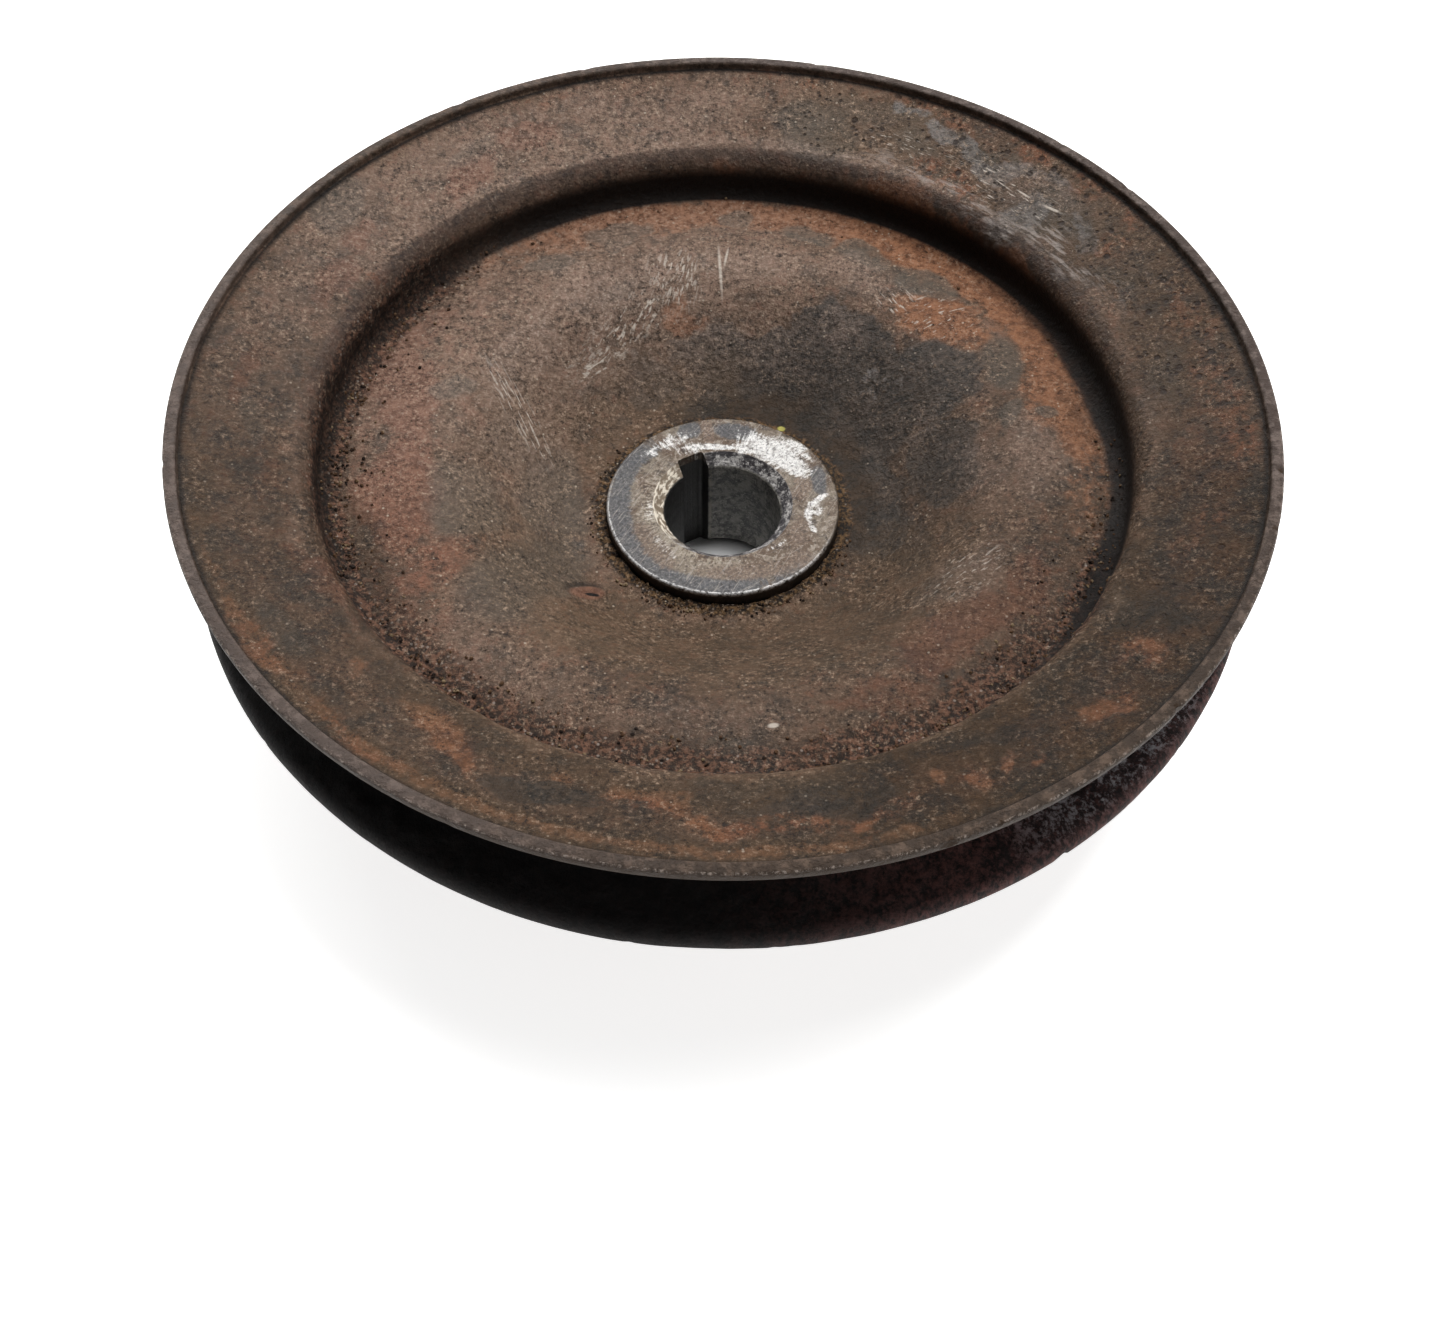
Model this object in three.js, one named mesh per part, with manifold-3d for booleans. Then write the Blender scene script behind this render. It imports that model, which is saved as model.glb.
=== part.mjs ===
// Pressed steel V belt pulley, one groove, with an offset keyed hub.
// Millimetres, +Z up. The origin is the centre of the hub's rear face, where the pulley stands.
// +Z runs along the bore axis towards the front, the side with the dished recess.
import * as THREE from 'three';
import { mergeVertices } from 'three/addons/utils/BufferGeometryUtils.js';
import Module from 'manifold-3d';

const wasm = await Module();
wasm.setup();

// Driving dimensions
const OUTER_RADIUS = 82.55; // 6.5 inch outside diameter
const RIM_WIDTH = 21; // over both lips
const SHEET = 1.9; // sheet thickness, 14 gauge
const FIT_GAP = 0.3; // between pieces that touch

const HUB_LENGTH = 22.2;
const HUB_RADIUS = 19.05;
const HUB_EDGE = 0.4; // edge break on the hub's two outer edges
const BORE_RADIUS = 9.525; // 3/4 inch bore
const BORE_CHAMFER = 1.9;
const KEYWAY_WIDTH = 4.76; // 3/16 inch key
const KEYWAY_DEPTH = 11.7; // axis to the keyway's floor
const KEYWAY_CORNER = 0.6;
const KEYWAY_ANGLE = THREE.MathUtils.degToRad(119.5); // direction of the keyway, from +X

const RIM_TOP = HUB_LENGTH + 27; // the rim stands in front of the hub
const GROOVE_MIDDLE = RIM_TOP - RIM_WIDTH / 2;
const GROOVE_SLOPE = Math.tan(THREE.MathUtils.degToRad(19)); // half of the groove's 38 degree angle
const LIP_DEPTH = 1.95; // lip edge to the corner of the sheet's middle line
const SHEET_EDGE = 0.35; // edge break on the cut edges of a sheet
const CUP_RADIUS = 63.85; // middle line of the cup wall
const CUP_FLOOR = 32.35; // middle line of the web beside the cup wall
const CROWN_RADIUS = 45; // where the web turns down into the dish
const CROWN_RISE = 0.9;
const DISH_RADIUS = 26.5; // where the dish turns level again
const WEB_AT_HUB = HUB_LENGTH - 2.3; // top face of the web round the hub

// Bend radii of the sheets' middle lines
const LIP_BEND = 1.45;
const CUP_MOUTH_BEND = 3.05;
const CUP_FLOOR_BEND = 3.95;
const CROWN_BEND = 20;
const DISH_BEND = 14;
const COLLAR_MOUTH_BEND = 1.6;
const COLLAR_FOOT_BEND = 2.6;

const REAR_RING_INNER = 52.5;
const HUB_WELD_LEG = 5;
const HUB_WELD_BULGE = 0.62; // share of the leg where the bead's face stands out furthest
const HUB_WELD_EDGE = 0.5; // thickness of the bead where it runs out
const PLUG_COUNT = 8;
const PLUG_RADIUS = 3.2;
const PLUG_CIRCLE = 56.5; // radius of the circle that the plug welds lie on
const PLUG_FACETS = 14;
const PLUG_DOME = 0.3; // how far a plug weld stands out of the ring's back
const PLUG_DOME_RADIUS = 2.1; // where its dome starts to fall away
const PLUG_SINK = 0.2; // how far its edge lies below the ring's back

const SEGMENTS = 60; // facets round the axis
const BEND_STEP = THREE.MathUtils.degToRad(25); // largest turn of one facet in a bend
const BEND_FACET = 4; // longest facet in a bend

// Middle line of a bent sheet, from its corners [radius, height, bend radius].
// Gives each point with the unit vector across the sheet, to the left of the line's direction.
function bentMiddleLine(corners) {
  const points = corners.map(([radius, height]) => new THREE.Vector2(radius, height));
  const legs = points.slice(1).map((point, i) => point.clone().sub(points[i]).normalize());
  const leftOf = (direction) => new THREE.Vector2(-direction.y, direction.x);
  const line = [{ at: points[0], across: leftOf(legs[0]) }];
  for (let i = 1; i < points.length - 1; i += 1) {
    const before = legs[i - 1];
    const turn = Math.atan2(before.cross(legs[i]), before.dot(legs[i]));
    const bend = corners[i][2];
    const tangent = bend * Math.tan(Math.abs(turn) / 2);
    const start = points[i].clone().addScaledVector(before, -tangent);
    const centre = start.clone().addScaledVector(leftOf(before), bend * Math.sign(turn));
    const stepsByTurn = Math.abs(turn) / BEND_STEP;
    const stepsByLength = (bend * Math.abs(turn)) / BEND_FACET;
    const steps = Math.ceil(Math.max(stepsByTurn, stepsByLength));
    for (let k = 0; k <= steps; k += 1) {
      const direction = before.clone().rotateAround(new THREE.Vector2(), (turn * k) / steps);
      const across = leftOf(direction);
      line.push({ at: centre.clone().addScaledVector(across, -bend * Math.sign(turn)), across });
    }
  }
  line.push({ at: points.at(-1), across: leftOf(legs.at(-1)) });
  return line;
}

// Closed outline of a sheet of even thickness along its middle line, with broken cut edges.
function sheetOutline(corners) {
  const line = bentMiddleLine(corners);
  const half = SHEET / 2;
  const offset = ({ at, across }, distance) => at.clone().addScaledVector(across, distance);
  const side = (sign) => line.map((point) => offset(point, sign * half));
  const cutEdge = (point, outward) => [1, -1].map((sign) => (
    offset(point, sign * (half - SHEET_EDGE)).addScaledVector(outward, SHEET_EDGE)));
  const alongStart = line[0].at.clone().sub(line[1].at).normalize();
  const alongEnd = line.at(-1).at.clone().sub(line.at(-2).at).normalize();
  // The corners given are the sheet's true ends, so the line is shortened by the edge break first.
  line[0].at.addScaledVector(alongStart, -SHEET_EDGE);
  line.at(-1).at.addScaledVector(alongEnd, -SHEET_EDGE);
  const endEdge = cutEdge(line.at(-1), alongEnd);
  const startEdge = cutEdge(line[0], alongStart).reverse();
  return [...side(1), ...endEdge, ...side(-1).reverse(), ...startEdge];
}

// Solid turned from a closed outline in radius and height, with +Z as its axis.
function turned(outline, segments = SEGMENTS) {
  const area = THREE.ShapeUtils.area(outline);
  const loop = area > 0 ? outline : [...outline].reverse();
  const geometry = new THREE.LatheGeometry([...loop, loop[0]], segments);
  geometry.rotateX(Math.PI / 2);
  return geometry;
}

function toSolid(geometry) {
  const bare = geometry.clone();
  bare.deleteAttribute('normal');
  bare.deleteAttribute('uv');
  const merged = mergeVertices(bare, 1e-4);
  const index = merged.getIndex().array;
  const triVerts = [];
  for (let i = 0; i < index.length; i += 3) {
    const [a, b, c] = [index[i], index[i + 1], index[i + 2]];
    if (a !== b && b !== c && c !== a) {
      triVerts.push(a, b, c);
    }
  }
  return new wasm.Manifold(new wasm.Mesh({
    numProp: 3,
    vertProperties: new Float32Array(merged.getAttribute('position').array),
    triVerts: new Uint32Array(triVerts),
  }));
}

function toGeometry(solid) {
  const mesh = solid.getMesh();
  const positions = new Float32Array(mesh.vertProperties);
  const geometry = new THREE.BufferGeometry();
  geometry.setAttribute('position', new THREE.BufferAttribute(positions, 3));
  geometry.setIndex(new THREE.BufferAttribute(new Uint32Array(mesh.triVerts), 1));
  geometry.computeVertexNormals();
  return geometry;
}

const rustedSheet = { color: 0x5a4a41, roughness: 0.82, metalness: 0.35 };
const wornSteel = { color: 0x8d8781, roughness: 0.45, metalness: 0.8 };
const weldMetal = { color: 0x4a403a, roughness: 0.7, metalness: 0.5 };

function piece(name, geometry, finish) {
  const mesh = new THREE.Mesh(geometry, new THREE.MeshStandardMaterial(finish));
  mesh.name = name;
  return mesh;
}

// Middle line of the groove's front cone, as a height for a radius.
const lipRadius = OUTER_RADIUS - SHEET / 2;
const frontCone = (radius) => RIM_TOP - LIP_DEPTH - (lipRadius - radius) * GROOVE_SLOPE;
const rearCone = (radius) => 2 * GROOVE_MIDDLE - frontCone(radius);

// Front sheet: lip, cone, cup wall, crowned web and dish down to the hub.
function frontDisc() {
  const webMiddle = WEB_AT_HUB - SHEET / 2;
  return turned(sheetOutline([
    [lipRadius, RIM_TOP],
    [lipRadius, frontCone(lipRadius), LIP_BEND],
    [CUP_RADIUS, frontCone(CUP_RADIUS), CUP_MOUTH_BEND],
    [CUP_RADIUS, CUP_FLOOR, CUP_FLOOR_BEND],
    [CROWN_RADIUS, CUP_FLOOR + CROWN_RISE, CROWN_BEND],
    [DISH_RADIUS, webMiddle, DISH_BEND],
    [HUB_RADIUS + FIT_GAP, webMiddle],
  ]));
}

// Rear sheet: lip, cone, a collar round the cup wall and a ring that lies on the web's back.
const nesting = SHEET + FIT_GAP;
const webSlope = CROWN_RISE / (CUP_RADIUS - CROWN_RADIUS);
const ringDrop = nesting * Math.hypot(1, webSlope);
const ringMiddle = (radius) => CUP_FLOOR + (CUP_RADIUS - radius) * webSlope - ringDrop;

function rearFlange() {
  const collar = CUP_RADIUS + nesting;
  const ring = turned(sheetOutline([
    [lipRadius, RIM_TOP - RIM_WIDTH],
    [lipRadius, rearCone(lipRadius), LIP_BEND],
    [collar, rearCone(collar), COLLAR_MOUTH_BEND],
    [collar, ringMiddle(collar), COLLAR_FOOT_BEND],
    [REAR_RING_INNER, ringMiddle(REAR_RING_INNER)],
  ]));
  const holeRadius = PLUG_RADIUS + FIT_GAP;
  let solid = toSolid(ring);
  for (const centre of plugCentres()) {
    const drill = new THREE.CylinderGeometry(holeRadius, holeRadius, 4 * SHEET, PLUG_FACETS);
    drill.rotateX(Math.PI / 2);
    drill.translate(centre.x, centre.y, ringMiddle(PLUG_CIRCLE));
    solid = solid.subtract(toSolid(drill));
  }
  return toGeometry(solid);
}

function plugCentres() {
  return Array.from({ length: PLUG_COUNT }, (_, i) => {
    const angle = (2 * Math.PI * (i + 0.5)) / PLUG_COUNT;
    return new THREE.Vector2(Math.cos(angle), Math.sin(angle)).multiplyScalar(PLUG_CIRCLE);
  });
}

// Weld button that fills one hole of the rear ring, with a low domed face at the back.
function plugWeld(centre) {
  const middle = ringMiddle(PLUG_CIRCLE);
  const top = middle + SHEET / 2 - PLUG_RADIUS * webSlope;
  const back = middle - SHEET / 2;
  const outline = [
    [0, back - PLUG_DOME],
    [PLUG_DOME_RADIUS, back - PLUG_SINK],
    [PLUG_RADIUS, back + PLUG_SINK],
    [PLUG_RADIUS, top],
    [0, top],
  ].map(([radius, height]) => new THREE.Vector2(radius, height));
  const geometry = new THREE.LatheGeometry(outline, PLUG_FACETS);
  geometry.rotateX(Math.PI / 2);
  geometry.translate(centre.x, centre.y, 0);
  return geometry;
}

// Hub: turned body with a chamfered bore and a keyway through its whole length.
function hub() {
  const chamferRadius = BORE_RADIUS + BORE_CHAMFER;
  const body = turned([
    [chamferRadius, 0],
    [HUB_RADIUS - HUB_EDGE, 0],
    [HUB_RADIUS, HUB_EDGE],
    [HUB_RADIUS, HUB_LENGTH - HUB_EDGE],
    [HUB_RADIUS - HUB_EDGE, HUB_LENGTH],
    [chamferRadius, HUB_LENGTH],
    [BORE_RADIUS, HUB_LENGTH - BORE_CHAMFER],
    [BORE_RADIUS, BORE_CHAMFER],
  ].map(([radius, height]) => new THREE.Vector2(radius, height)));
  return toGeometry(toSolid(body).subtract(toSolid(keyway())));
}

// Prism of the keyway's shape, from the axis outwards, past both ends of the hub.
function keyway() {
  const overrun = 2;
  const half = KEYWAY_WIDTH / 2;
  const cornerX = KEYWAY_DEPTH - KEYWAY_CORNER;
  const cornerY = half - KEYWAY_CORNER;
  const slot = new THREE.Shape();
  slot.moveTo(0, -half);
  slot.lineTo(cornerX, -half);
  slot.absarc(cornerX, -cornerY, KEYWAY_CORNER, -Math.PI / 2, 0);
  slot.absarc(cornerX, cornerY, KEYWAY_CORNER, 0, Math.PI / 2);
  slot.lineTo(0, half);
  const cutter = new THREE.ExtrudeGeometry(slot, {
    depth: HUB_LENGTH + 2 * overrun,
    bevelEnabled: false,
    curveSegments: 3,
  });
  cutter.translate(0, 0, -overrun);
  cutter.rotateZ(KEYWAY_ANGLE);
  return cutter;
}

// Fillet weld bead between the hub and the web's back.
function hubWeld() {
  const inner = HUB_RADIUS + FIT_GAP;
  const top = WEB_AT_HUB - SHEET - FIT_GAP;
  const bulge = HUB_WELD_LEG * HUB_WELD_BULGE;
  return turned([
    [inner, top],
    [inner, top - HUB_WELD_LEG],
    [inner + HUB_WELD_EDGE, top - HUB_WELD_LEG],
    [inner + bulge, top - bulge],
    [inner + HUB_WELD_LEG, top - HUB_WELD_EDGE],
    [inner + HUB_WELD_LEG, top],
  ].map(([radius, height]) => new THREE.Vector2(radius, height)));
}

const pulley = new THREE.Group();
pulley.add(piece('front_disc', frontDisc(), rustedSheet));
pulley.add(piece('rear_flange', rearFlange(), rustedSheet));
pulley.add(piece('hub', hub(), wornSteel));
pulley.add(piece('hub_weld', hubWeld(), weldMetal));
plugCentres().forEach((centre, i) => {
  const number = String(i + 1).padStart(2, '0');
  pulley.add(piece(`plug_weld_${number}`, plugWeld(centre), weldMetal));
});

export default pulley;
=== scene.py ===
"""Rusted pressed steel V belt pulley: the visual model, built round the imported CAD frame.

Lengths are in millimetres in this script and turn into metres where a mesh is made.
The bore axis is Z, +Z is the front, and the pulley stands on its hub's rear face.
Angles about the axis are in degrees from +X, anticlockwise as seen from the front.
"""
import math

import bpy
import numpy as np
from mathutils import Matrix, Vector


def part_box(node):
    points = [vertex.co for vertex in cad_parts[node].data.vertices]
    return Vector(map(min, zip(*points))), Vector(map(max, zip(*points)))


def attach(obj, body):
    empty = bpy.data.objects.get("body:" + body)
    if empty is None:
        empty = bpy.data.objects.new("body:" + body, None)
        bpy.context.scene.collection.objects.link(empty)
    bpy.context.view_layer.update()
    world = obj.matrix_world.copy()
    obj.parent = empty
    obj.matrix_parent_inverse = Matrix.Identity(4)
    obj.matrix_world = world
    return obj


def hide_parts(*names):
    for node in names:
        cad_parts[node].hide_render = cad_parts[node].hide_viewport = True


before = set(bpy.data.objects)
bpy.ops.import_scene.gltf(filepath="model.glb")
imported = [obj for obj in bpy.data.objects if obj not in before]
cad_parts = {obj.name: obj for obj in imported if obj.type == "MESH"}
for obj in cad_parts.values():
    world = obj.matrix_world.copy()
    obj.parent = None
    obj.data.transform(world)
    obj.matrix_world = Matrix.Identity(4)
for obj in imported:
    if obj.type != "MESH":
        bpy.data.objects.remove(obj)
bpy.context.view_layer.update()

MM = 0.001


def box_mm(node):
    """Lowest and highest corner of a CAD node, in millimetres."""
    low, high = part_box(node)
    return np.array(low) / MM, np.array(high) / MM


# Sizes taken from the frame
_, disc_high = box_mm("front_disc")
flange_low, _ = box_mm("rear_flange")
_, hub_high = box_mm("hub")
bead_low, bead_high = box_mm("hub_weld")
OUTER_RADIUS = disc_high[0]
RIM_TOP = disc_high[2]
RIM_BOTTOM = flange_low[2]
GROOVE_MIDDLE = (RIM_TOP + RIM_BOTTOM) / 2
HUB_RADIUS = hub_high[0]
HUB_LENGTH = hub_high[2]

# Sizes that a node's box doesn't give, the same as in the CAD source
SHEET = 1.9
FIT_GAP = 0.3
GROOVE_SLOPE = math.tan(math.radians(19))
LIP_DEPTH = 1.95
CUP_RADIUS = 63.85
CUP_FLOOR = 32.35
CROWN_RADIUS = 45
CROWN_RISE = 0.9
DISH_RADIUS = 26.5
HUB_PROUD = 2.3
REAR_RING_INNER = 52.5
PLUG_RADIUS = 3.2
BORE_RADIUS = 9.525
BORE_CHAMFER = 1.9
KEYWAY_WIDTH = 4.76
KEYWAY_DEPTH = 11.7
KEYWAY_CORNER = 0.6
KEYWAY_ANGLE = 119.5

# Bend radii of the sheets' middle lines
LIP_BEND = 1.45
CUP_MOUTH_BEND = 3.05
CUP_FLOOR_BEND = 3.95
CROWN_BEND = 20
DISH_BEND = 14
COLLAR_MOUTH_BEND = 1.6
REAR_RING_BEND = 2.6

# Sizes worked out from those
LIP_MIDDLE = OUTER_RADIUS - SHEET / 2
WEB_MIDDLE_AT_HUB = HUB_LENGTH - HUB_PROUD - SHEET / 2
WEB_SLOPE = CROWN_RISE / (CUP_RADIUS - CROWN_RADIUS)
NESTING = SHEET + FIT_GAP
COLLAR_RADIUS = CUP_RADIUS + NESTING

# Details of the visual model alone
LIP_INNER = 80.6
OUTSIDE_WALL = 81.8
WEB_REACH = 63.2
WEB_TO_HUB_GAP = 0.06
HUB_EDGE_ROUNDING = 0.4
BORE_EDGE_ROUNDING = 0.12
WELD_CORNER_ROUNDING = 0.25
WELD_TO_HUB_GAP = 0.05
PLUG_SPREAD = 0.25
CUT_EDGE_ROUNDING = 0.45
CUT_PAST_END = 2
SCAB_PLACE = (-21, -19)
SCAB_TURN = 30

# Mesh fineness: steps in one turn, and the longest steps along an outline
TURN_STEPS = 600
HUB_TURN_STEPS = 480
FINE_STEP = 0.72
COARSE_STEP = 2.4
SMALL_STEP = 0.35
BEND_STEP = math.radians(12)

# Loose crumbs: inner and outer radius of each band, and the number of tries in it
CRUMB_BANDS = ((58.8, 62.6, 2300), (53, 60, 500), (19.3, 22.4, 420))

# A surface's own colour as a share of the colour seen on the screen, since the lights are strong
UNDER_LIGHT = 0.445

# Floor, a hair below the hub, and how it glows round the pulley and inside the bore
FLOOR_SIZE = 4000
FLOOR_GAP = 0.05
FLOOR_GLOW = 0.75
BORE_GLOW = 0.45

# Camera in front of and above the rim, tilted, rolled and panned by degrees
CAMERA_LENS = 39.86
CAMERA_BACK = 173.06
CAMERA_ABOVE_RIM = 171.04
CAMERA_TURN = (35.564, -0.685, 0.801)

# Lights: name, azimuth, elevation, distance and size in metres, power
LIGHTS = (
    ("key", 52, 71, 1.2, 0.6, 15.0),
    ("window", 106, 33, 1.4, 1.2, 16.0),
    ("side", -20, 25, 1.5, 0.9, 4.0),
)
WORLD_LIGHT = 0.12


# -------------------- random fields

HASH_PRIMES = np.array([374761393, 668265263, 2147483647])
SEED_PRIME = 1274126177
HASH_BITS = 0xFFFFFF


def lattice(cell, seed):
    """Random number from -1 to 1 for each whole-number cell."""
    mixed = cell @ HASH_PRIMES + seed * SEED_PRIME
    mixed = (mixed ^ (mixed >> 13)) * SEED_PRIME
    mixed = (mixed ^ (mixed >> 16)) & HASH_BITS
    return mixed / float(HASH_BITS // 2) - 1.0


def field(points, size, seed):
    """Smooth random field over points, with features of about the given size."""
    scaled = points / size
    base = np.floor(scaled).astype(np.int64)
    part = scaled - base
    part = part * part * (3 - 2 * part)
    total = np.zeros(len(points))
    for corner in range(8):
        offset = np.array([corner & 1, (corner >> 1) & 1, corner >> 2])
        weight = np.prod(np.where(offset == 1, part, 1 - part), axis=1)
        total += weight * lattice(base + offset, seed)
    return total


def fractal(points, size, seed, octaves=3):
    """Sum of fields, each half the size and half the height of the last."""
    total = np.zeros(len(points))
    for octave in range(octaves):
        total += field(points, size / 2 ** octave, seed + octave) / 2 ** octave
    return total


def rise(value, low, high):
    """0 below low, 1 above high, smooth between."""
    share = np.clip((value - low) / (high - low), 0, 1)
    return share * share * (3 - 2 * share)


class Zones:
    """Soft masks over points, in plan view, with edges made ragged by shifting the points."""

    SHIFT = 2.4
    SHIFT_SIZE = 9

    def __init__(self, points, ragged=1.0):
        self.x = points[:, 0] + ragged * (self.SHIFT * fractal(points, self.SHIFT_SIZE, 301, 4))
        self.y = points[:, 1] + ragged * (self.SHIFT * fractal(points, self.SHIFT_SIZE, 311, 4))
        self.radius = np.hypot(self.x, self.y)
        self.angle = np.degrees(np.arctan2(self.y, self.x))

    def sector(self, centre, half, fade=14):
        """1 within half of the centre angle, falling to 0 over the fade."""
        away = np.abs((self.angle - centre + 180) % 360 - 180)
        return 1 - rise(away, half - fade, half + fade)

    def ring(self, low, high, soft, *sector):
        """1 between two radii, within a sector if one is given."""
        inside = rise(self.radius, low - soft, low + soft)
        inside = inside * (1 - rise(self.radius, high - soft, high + soft))
        return inside * self.sector(*sector) if sector else inside

    def rings(self, *places):
        """Greatest of several rings, each given as a strength and what ring() takes."""
        return np.max([strength * self.ring(*place) for strength, *place in places], axis=0)

    def oval(self, x, y, length, width, turn=0, strength=1, soft=0.45):
        """Oval patch, its long side turned by degrees from X."""
        turn = math.radians(turn)
        along = (self.x - x) * math.cos(turn) + (self.y - y) * math.sin(turn)
        aside = (self.y - y) * math.cos(turn) - (self.x - x) * math.sin(turn)
        reach = np.hypot(along / (length / 2), aside / (width / 2))
        return strength * (1 - rise(reach, 1 - soft, 1 + soft))

    def ovals(self, places, soft=0.45):
        """Greatest of several ovals."""
        return np.max([self.oval(*place, soft=soft) for place in places], axis=0)


# Patches on the front of the sheet, each an oval: x, y, length, width, turn, strength
ORANGE_PATCHES = [
    (36, 32, 17, 9, -45, 0.9), (28, 53, 17, 8, -25, 1), (45, 42, 20, 7, -45, 1),
    (-9, 58, 26, 6, 5, 0.9), (-36, 47, 14, 6, 40, 0.5), (-6, 37, 8, 4, -20, 0.8),
    (52, 14, 22, 7, 100, 0.6), (56, -8, 20, 6, 95, 0.4), (-27, 53, 10, 4, 20, 0.6),
    (-35, -62.5, 14, 4.6, -48, 0.85), (-7, -69.5, 15, 4.5, -5, 0.9), (1, -73, 6, 4, 0, 0.7),
    (-48.5, -50.5, 7, 3.5, -55, 0.35), (-60, -50, 10, 2.5, -52, 0.9),
    (49.7, -54.6, 6, 4.4, 10, 0.85), (59, -46, 4.5, 4, 0, 0.8), (-21, -66.5, 3, 2.5, 0, 0.7),
    (13, -71.7, 5, 2.5, -20, 0.8), (19.5, -72, 5, 2.4, 20, 0.7), (6.8, -71.4, 4, 2, 0, 0.5),
    (34.8, -63.5, 5, 2, 90, 0.9), (32, -67, 4, 2, 80, 0.9), (40, -64.4, 3, 2.4, 0, 0.8),
    (27.8, -67, 4, 1.8, 90, 0.8),
]
RED_PATCHES = [
    (-52, 12, 24, 12, 95, 0.9), (-50, -9, 26, 13, 80, 1), (-43, -22, 18, 12, 50, 0.6),
    (-36, -33, 14, 7, 40, 0.5), (34, -33, 22, 11, 40, 1), (46, -24, 14, 8, 60, 0.7),
    (-50, 27, 16, 7, 55, 0.7), (24, -44, 18, 7, 20, 0.6), (-41, 10, 11, 6, 120, 0.5),
    (-35, 63, 14, 6, 30, 0.7), (-44, 53, 13, 6, 50, 0.9), (-64, 27, 16, 6, 70, 0.8),
    (-73, 3, 12, 4, 90, 0.7), (-35, -62, 13, 6, -45, 0.9), (-57, -32, 10, 5, -50, 0.7),
    (-68, -14, 14, 5, -75, 0.5), (-60, 38, 8, 4, 60, 0.7), (-6, -71, 14, 6, 10, 0.6),
]
SCALE_PATCHES = [
    (2, 56, 7, 5, 0, 1), (13, 53, 10, 6, -12, 1), (24, 48, 14, 7, -35, 1), (34, 41, 12, 7, -55, 1),
    (-20, 52, 12, 5, 20, 1), (-31, 43, 9, 5, 30, 0.8), (47, 10, 6, 5, 80, 1), (54, 9, 4, 3, 0, 1),
    (45, 22, 12, 8, -60, 0.8), (-45, 14, 9, 5, 50, 0.9), (4, -55, 14, 6, 0, 0.8),
    (-18, 40, 9, 4, 40, 0.6), (54, 45, 14, 8, -45, 1), (46, 61, 12, 4, -40, 0.9),
    (15, 68, 18, 9, -12, 0.8), (33, 64, 14, 4, -25, 0.7), (-44, 57, 14, 5, 45, 0.6),
    (-64, 43, 14, 8, 60, 0.9), (60, -38, 15, 6, -30, 0.7), (12, -66, 26, 4, 5, 0.6),
    (-22, -70, 14, 5, -15, 0.7), (-60, -44, 14, 5, -50, 0.7), (70, 8, 18, 7, 90, 0.6),
    (-70, -5, 16, 5, 92, 0.6), (26, 70, 20, 5, -20, 0.6), (63, 30, 10, 5, -65, 0.7),
    (30, -15, 12, 6, 40, 0.5), (-30, -21, 34, 14, 70, 0.7), (-41, -9, 18, 12, 90, 0.7),
    (-36, 8, 16, 10, 60, 0.5), (-29, 0, 26, 12, 90, 0.7),
]
# Dark scale patches; those on the dish at the hub's upper right are partly painted shade
DARK_PATCHES = [
    (33, 20, 18, 15, -50, 1), (18, 31, 22, 14, -20, 1), (2, 31, 16, 8, 5, 0.9),
    (36, 4, 18, 12, 90, 0.8), (-14, 27, 14, 7, 25, 0.6), (30, -10, 18, 9, -70, 0.5),
    (8, 33, 12, 8, 10, 1), (24, 28, 14, 10, -45, 1), (-20, 17, 16, 7, 50, 0.4),
    (62.9, -40.7, 3.4, 2.8, 0, 1), (57, -40, 8, 4, 30, 0.7), (-28, -12, 18, 12, 60, 0.4),
    (-22, -70, 18, 5, -14, 0.8), (-10, -73, 10, 3, -5, 0.5), (14, -69, 22, 4.5, 4, 0.8),
    (36, -60, 10, 5, 40, 0.5), (-56, -56, 12, 4, -45, 0.4), (-29, -4, 22, 10, 85, 0.35),
]
STEEL_PATCHES = [
    (47, 58, 16, 4, -42, 1), (50, 47, 9, 5, -40, 1), (38, 65, 11, 3, -28, 0.9),
    (59, 40, 9, 4, -58, 0.9), (30, 70, 9, 3, -20, 0.8), (44, 63, 8, 3, -38, 1),
    (25, 24, 12, 7, -35, 0.5), (55, 51, 7, 3, -45, 0.9), (67, 30, 7, 3, -65, 0.6),
]
PALE_PATCHES = [
    (-19, 40, 26, 13, 30, 1), (-34, 25, 26, 11, 60, 0.9), (-40, 8, 20, 8, 85, 0.4),
    (3, 45, 22, 8, -8, 0.9), (20, 42, 14, 6, -20, 0.6), (37, -21, 13, 7, 40, 0.6),
    (-3, -50, 28, 7, 0, 0.4), (-14, 70, 34, 12, 12, 0.6), (-60, 14, 12, 10, 90, 0.3),
    (42, 0, 12, 8, 90, 0.6), (34, 12, 10, 5, 90, 0.3), (-30, -42, 22, 8, -35, 0.3),
    (66, 2, 10, 5, 90, 0.3), (52, 51, 18, 6, -45, 0.6), (50, 1, 16, 9, 90, 0.8),
    (-25, 43, 16, 9, 30, 0.8), (23, 43, 16, 8, -30, 0.8), (20, 34, 8, 5, -30, 0.5),
]
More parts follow.
